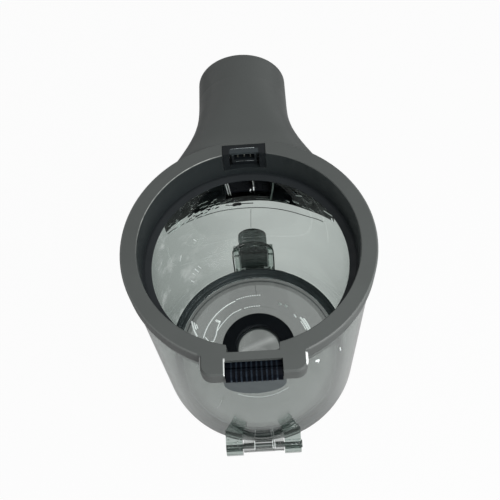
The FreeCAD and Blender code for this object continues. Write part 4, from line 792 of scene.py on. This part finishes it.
# Rib on the outside of the wall under the neck; behind the port, light stripes and glints as
# painted highlights
BACK = 55.0
BEHIND = 55.1
BEFORE = 54.95
add_tubes("saddle_rib", [
    (on_wall([(-43.6, 82.5), (-31.5, 76.6), (-18.4, 73.0), (0.5, 70.6), (27.1, 72.3),
              (39.4, 77.6)], BACK), 0.2)], mould_dark, "bin")
add_tubes("port_stripe_glints", [
    (on_wall([(-11.2, 94.4), (-10.2, 81.8)], BEHIND), 0.36),
    (on_wall([(-10.1, 94.4), (-9.0, 81.6)], BACK), 0.3),
    (on_wall([(2.9, 94.6), (3.3, 88.5)], BACK), 0.26),
    (on_wall([(13.9, 94.2), (13.1, 86.2), (12.2, 79.2)], BEHIND), 0.5),
    (on_wall([(4.1, 79.3), (8.4, 79.3), (12.6, 79.0), (18.9, 79.1), (22.5, 78.4)], BEFORE), 0.16),
    (on_wall([(-9.0, 80.8), (-14.2, 79.6), (-19.0, 80.6)], BEFORE), 0.14)], painted_stripe_glint, "bin")
add_tubes("port_glints", [
    (on_wall([(3.2, 87.6), (3.2, 84.8)], BACK), 0.3),
    (on_wall([(1.6, 85.6), (1.3, 84.4)], BACK), 0.3),
    (on_wall([(13.3, 89.0), (12.9, 84.2)], 54.9), 0.22),
    (on_wall([(25.5, 88.3), (28.4, 89.6)], BEFORE), 0.22)], painted_glint, "bin")

# Painted reflections: light strokes along the saddle's lower edge, which rises from its middle
# towards its ends; dark strokes lie among them
STROKE_RADIUS = 54.86
DARK_STROKE_RADIUS = 54.9
EDGE_MIDDLE = 77.5
EDGE_RISE = 7.4
EDGE_HALF = 44
dice = random.Random(7)
glint_strokes, dark_strokes = [], []


def add_strokes(into, count, across, up, length, radius):
    """Short bent strokes along the edge, from ranges of x, height over it, length and width."""
    for _ in range(count):
        x = dice.uniform(*across)
        z = EDGE_MIDDLE + EDGE_RISE * (abs(x) / EDGE_HALF) ** 2 + dice.uniform(*up)
        reach = dice.uniform(*length)
        lean = -reach * 0.2 * x / EDGE_HALF + dice.uniform(-0.3, 0.3)
        bend = dice.uniform(-0.15, 0.15)
        path = [(x, z), (x + reach * 0.5, z + lean * 0.5 + bend), (x + reach, z + lean)]
        into.append((on_wall(path, STROKE_RADIUS), dice.uniform(*radius)))


add_strokes(glint_strokes, 16, (-43, -14), (0.2, 6.0), (0.5, 3.0), (0.06, 0.14))
add_strokes(glint_strokes, 12, (14, 41), (0.2, 4.0), (0.5, 3.0), (0.06, 0.12))
add_strokes(glint_strokes, 26, (-43, -19), (-5.0, 0.2), (0.6, 2.6), (0.12, 0.32))
add_strokes(dark_strokes, 18, (-34, -15), (-4.0, 0.4), (0.8, 3.4), (0.15, 0.5))
dark_strokes += [
    (on_wall([(-8.4, 75.0), (-6.4, 75.3), (-4.6, 75.0)], DARK_STROKE_RADIUS), 0.95),
    (on_wall([(-12.6, 76.6), (-9.2, 75.4), (-4.0, 75.2), (2.4, 75.0)], DARK_STROKE_RADIUS), 0.26)]
add_tubes("saddle_glint_strokes", glint_strokes, painted_glint, "bin")
add_tubes("saddle_dark_strokes", dark_strokes, black_rubber, "bin")
add_tubes("saddle_glint", [
    (on_wall([(39.5, 88.0), (41.6, 88.6), (43.2, 89.2)], STROKE_RADIUS), 0.3),
    (on_wall([(-41.5, 84.6), (-38.0, 83.4), (-33.0, 82.4)], STROKE_RADIUS), 0.2)], painted_glint, "bin")

# Glints on the inside of the wall at its back, and on its outside round the button
INSIDE = 51.75
OUTSIDE = 54.6
add_tubes("wall_glints", [
    (on_wall([(-34.3, 32.6), (-32.9, 26.8)], INSIDE), 0.3),
    (on_wall([(-32.4, 33.0), (-31.2, 28.6)], INSIDE), 0.22),
    (on_wall([(-35.9, 30.4), (-34.9, 26.4)], INSIDE), 0.2),
    (on_wall([(-37.4, 24.0), (-36.4, 20.4)], INSIDE), 0.3),
    (on_wall([(-40.0, 53.2), (-38.9, 57.0)], INSIDE), 0.16),
    (on_wall([(-31.4, 61.6), (-30.4, 58.4)], INSIDE), 0.2),
    (on_wall([(41.4, 89.6), (41.9, 87.6)], INSIDE), 0.3),
    (in_front([(25.9, 102.2), (26.9, 101.2)], OUTSIDE), 0.75),
    (in_front([(27.2, 98.6), (26.9, 97.8)], OUTSIDE), 0.25),
    (in_front([(37.4, 95.0), (37.9, 91.0)], 54.8), 0.3)], painted_glint, "bin")
# Painted highlights: glowing light lines on the front of the wall
add_tubes("wall_glow_lines", [
    (in_front([(-8.8, 82.0), (-3.6, 79.4), (2.2, 78.3), (7.7, 79.6), (13.6, 83.5)], OUTSIDE), 0.24),
    (in_front([(-21.0, 52.4), (-19.0, 60.0), (-17.1, 68.7)], 54.75), 0.1)], painted_soft_glint, "bin")

# Coils in place of the springs, fixed to the bin
SPRING_STEPS = 20


def add_spring(name, node, centre_z, radius, wire, turns, ends):
    """Coil along y between its two ends, in place of the spring node, which it hides."""
    count = int(turns * SPRING_STEPS)
    low, high = ends[0] + wire, ends[1] - wire
    path = []
    for i in range(count + 1):
        angle = 2 * math.pi * turns * i / count
        path.append((radius * math.cos(angle), low + (high - low) * i / count,
                     centre_z + radius * math.sin(angle)))
    points, faces = tube_shape(path, wire)
    coil = add_piece(name, points, faces, steel, "bin", 60)
    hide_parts(node)
    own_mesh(coil)


add_spring("button_coil", "button_spring", centre_z=119.1, radius=1.05, wire=0.2,
           turns=3.5, ends=(-58.4, -54.8))
add_spring("latch_coil", "latch_spring", centre_z=24.5, radius=1.9, wire=0.25,
           turns=2.5, ends=(54.85, 58.0))

# Outline of the arch in front of the latch
add_tubes("arch_edge", [
    (on_wall([(-12.9, 3), (-12.7, 24), (-11.2, 30.5), (-7.2, 34.4), (-0.1, 35.6), (7.2, 34.2),
              (11.0, 30), (12.3, 24), (12.5, 3)], 54.3), 0.42),
    (on_wall([(-8.0, 28), (-7.0, 31.3), (-3.5, 33.2), (0, 33.6), (3.5, 33.2), (7.0, 31.3),
              (8.0, 28)], 54.5), 0.22)], mould_dark, "bin")

# Painted highlights: light edges of the terminal block
add_tubes("terminal_edge_glints", [
    ([(-6.6, 51.15, 123.9), (-5.4, 51.4, 124.0), (0, 51.5, 124.0), (5.0, 51.4, 124.0)], 0.09),
    ([(-5.9, 48.62, 117.7), (0, 48.9, 117.7), (5.9, 48.62, 117.7)], 0.06)], painted_edge_glint, "bin")

# Painted highlight: a light line on the edge of the lip under the button
add_tubes("lip_edge_glint", [([(-7.9, -61.3, 119.1), (2.4, -61.3, 119.1), (11.2, -61.3, 119.1)], 0.2)],
          painted_soft_glint, "bin")

# Specks on the hinge's lugs, which slope down from the wall and then drop off at their nose; the
# light specks are painted glints
SPECKS = 36
LUG_HEIGHT = 14.0
LUG_FALL = 2.5
LUG_ROOT = 51.8
LUG_REACH = 8.2
NOSE_START = 60.0
NOSE_HEIGHT = 11.5
NOSE_SLOPE = 1.1
specks, dark_specks = [], []
for i in range(SPECKS):
    x = dice.choice((-1, 1)) * dice.uniform(12.5, 19.5)
    y = -dice.uniform(56.0, 61.0)
    if y > -NOSE_START:
        z = LUG_HEIGHT - LUG_FALL * (-y - LUG_ROOT) / LUG_REACH
    else:
        z = NOSE_HEIGHT + (y + NOSE_START) * NOSE_SLOPE
    along, across = dice.uniform(0.2, 1.1), dice.uniform(-0.5, 0.5)
    stroke = [(x, y, z), (x + along, y + across, z - 0.3 * -min(across, 0.0))]
    (specks if i % 2 else dark_specks).append((stroke, dice.uniform(0.07, 0.17)))
add_tubes("lug_glint_specks", specks, painted_stripe_glint, "bin")
add_tubes("lug_dark_specks", dark_specks, mould_dark, "bin")


def add_trough(name, ends, centre, radius, thick, span, material, body, steps=16):
    """Curved strip about a line along x, from one angle to another in degrees."""
    points, faces = [], []
    for x in ends:
        for r in (radius, radius + thick):
            for i in range(steps + 1):
                angle = math.radians(span[0] + (span[1] - span[0]) * i / steps)
                points.append((x, centre[0] + r * math.cos(angle), centre[1] + r * math.sin(angle)))
    row = steps + 1
    for i in range(steps):
        a, b, c, d = i, i + row, i + 2 * row, i + 3 * row
        faces += [(a, a + 1, b + 1, b), (c, d, d + 1, c + 1), (a, c, c + 1, a + 1),
                  (b, b + 1, d + 1, d)]
    faces += [(0, row, 3 * row, 2 * row),
              (steps, steps + 2 * row, steps + 3 * row, steps + row)]
    return add_piece(name, points, faces, material, body, 50)


# Floor of the hinge's window, round the underside of the pin
add_trough("window_floor", ends=(-4.9, 5.3), centre=(-57.6, 3.4), radius=2.1, thick=0.7,
           span=(185, 355), material=clear_lid, body="lid")

# Painted highlights: light edges of the hinge's window
add_tubes("window_edge_glints", [([(x, -59.8, 5.65), (x, -57.6, 5.8), (x, -55.6, 5.3)], 0.16)
                           for x in (-4.9, 4.9, 6.0)], painted_glint, "lid")

# Floor, world and lamps: the floor lies low enough for the open lid to hang clear of it
LID_DROP = 0.118
FLOOR_HALF = 3.0
FLOOR_GREY = 0.55
FLOOR_WHITE = {"Is Camera Ray": 0.96, "Is Transmission Ray": 0.7, "Is Glossy Ray": 0.15}
SKY_STRENGTH = 0.45
WHITE_STRENGTH = 1.0
KEY_WATTS = 1.75
STRIP_WATTS = 0.9


def add_floor():
    data = bpy.data.meshes.new("floor")
    corners = [(-FLOOR_HALF, -FLOOR_HALF, 0), (FLOOR_HALF, -FLOOR_HALF, 0),
               (FLOOR_HALF, FLOOR_HALF, 0), (-FLOOR_HALF, FLOOR_HALF, 0)]
    data.from_pydata(corners, [], [(0, 1, 2, 3)])
    floor = bpy.data.objects.new("floor", data)
    floor.location.z = cad_box[0][2] - LID_DROP
    scene.collection.objects.link(floor)
    n = Nodes("floor")
    plain = n.add("ShaderNodeBsdfDiffuse")
    plain.inputs["Color"].default_value = (FLOOR_GREY, FLOOR_GREY, FLOOR_GREY, 1)
    bright = n.add("ShaderNodeEmission")
    bright.inputs["Color"].default_value = (1, 1, 1, 1)
    rays = n.add("ShaderNodeLightPath")
    share = 0.0
    for ray, white in FLOOR_WHITE.items():
        share = n.math("MAXIMUM", share, n.math("MULTIPLY", rays.outputs[ray], white))
    n.show(share, plain.outputs[0], bright.outputs[0])
    data.materials.append(n.material)


def add_world():
    """Soft light on the object, and plain white for what the camera, metal and glass see."""
    world = bpy.data.worlds.new("world")
    scene.world = world
    world.use_nodes = True
    tree = world.node_tree
    tree.nodes.clear()
    output = tree.nodes.new("ShaderNodeOutputWorld")
    soft = tree.nodes.new("ShaderNodeBackground")
    soft.inputs["Strength"].default_value = SKY_STRENGTH
    white = tree.nodes.new("ShaderNodeBackground")
    white.inputs["Color"].default_value = (1, 1, 1, 1)
    white.inputs["Strength"].default_value = WHITE_STRENGTH
    rays = tree.nodes.new("ShaderNodeLightPath")
    share = rays.outputs["Is Camera Ray"]
    for ray in ("Is Glossy Ray", "Is Transmission Ray"):
        larger = tree.nodes.new("ShaderNodeMath")
        larger.operation = "MAXIMUM"
        tree.links.new(share, larger.inputs[0])
        tree.links.new(rays.outputs[ray], larger.inputs[1])
        share = larger.outputs[0]
    blend = tree.nodes.new("ShaderNodeMixShader")
    tree.links.new(share, blend.inputs[0])
    tree.links.new(soft.outputs[0], blend.inputs[1])
    tree.links.new(white.outputs[0], blend.inputs[2])
    tree.links.new(blend.outputs[0], output.inputs["Surface"])


def add_lamp(name, place, aim, size, watts, height=None):
    data = bpy.data.lights.new(name, "AREA")
    data.size = size
    if height:
        data.shape = "RECTANGLE"
        data.size_y = height
    data.energy = watts
    lamp = bpy.data.objects.new(name, data)
    lamp.location = place
    lamp.rotation_euler = (Vector(aim) - Vector(place)).to_track_quat("-Z", "Y").to_euler()
    scene.collection.objects.link(lamp)


add_floor()
add_world()
add_lamp("key", place=(0.20, -0.26, 0.38), aim=(0, 0, 0.1), size=0.3, watts=KEY_WATTS)
add_lamp("strip", place=(0.55, -0.24, 0.36), aim=(0, 0, 0.12), size=0.6, watts=STRIP_WATTS,
         height=0.05)
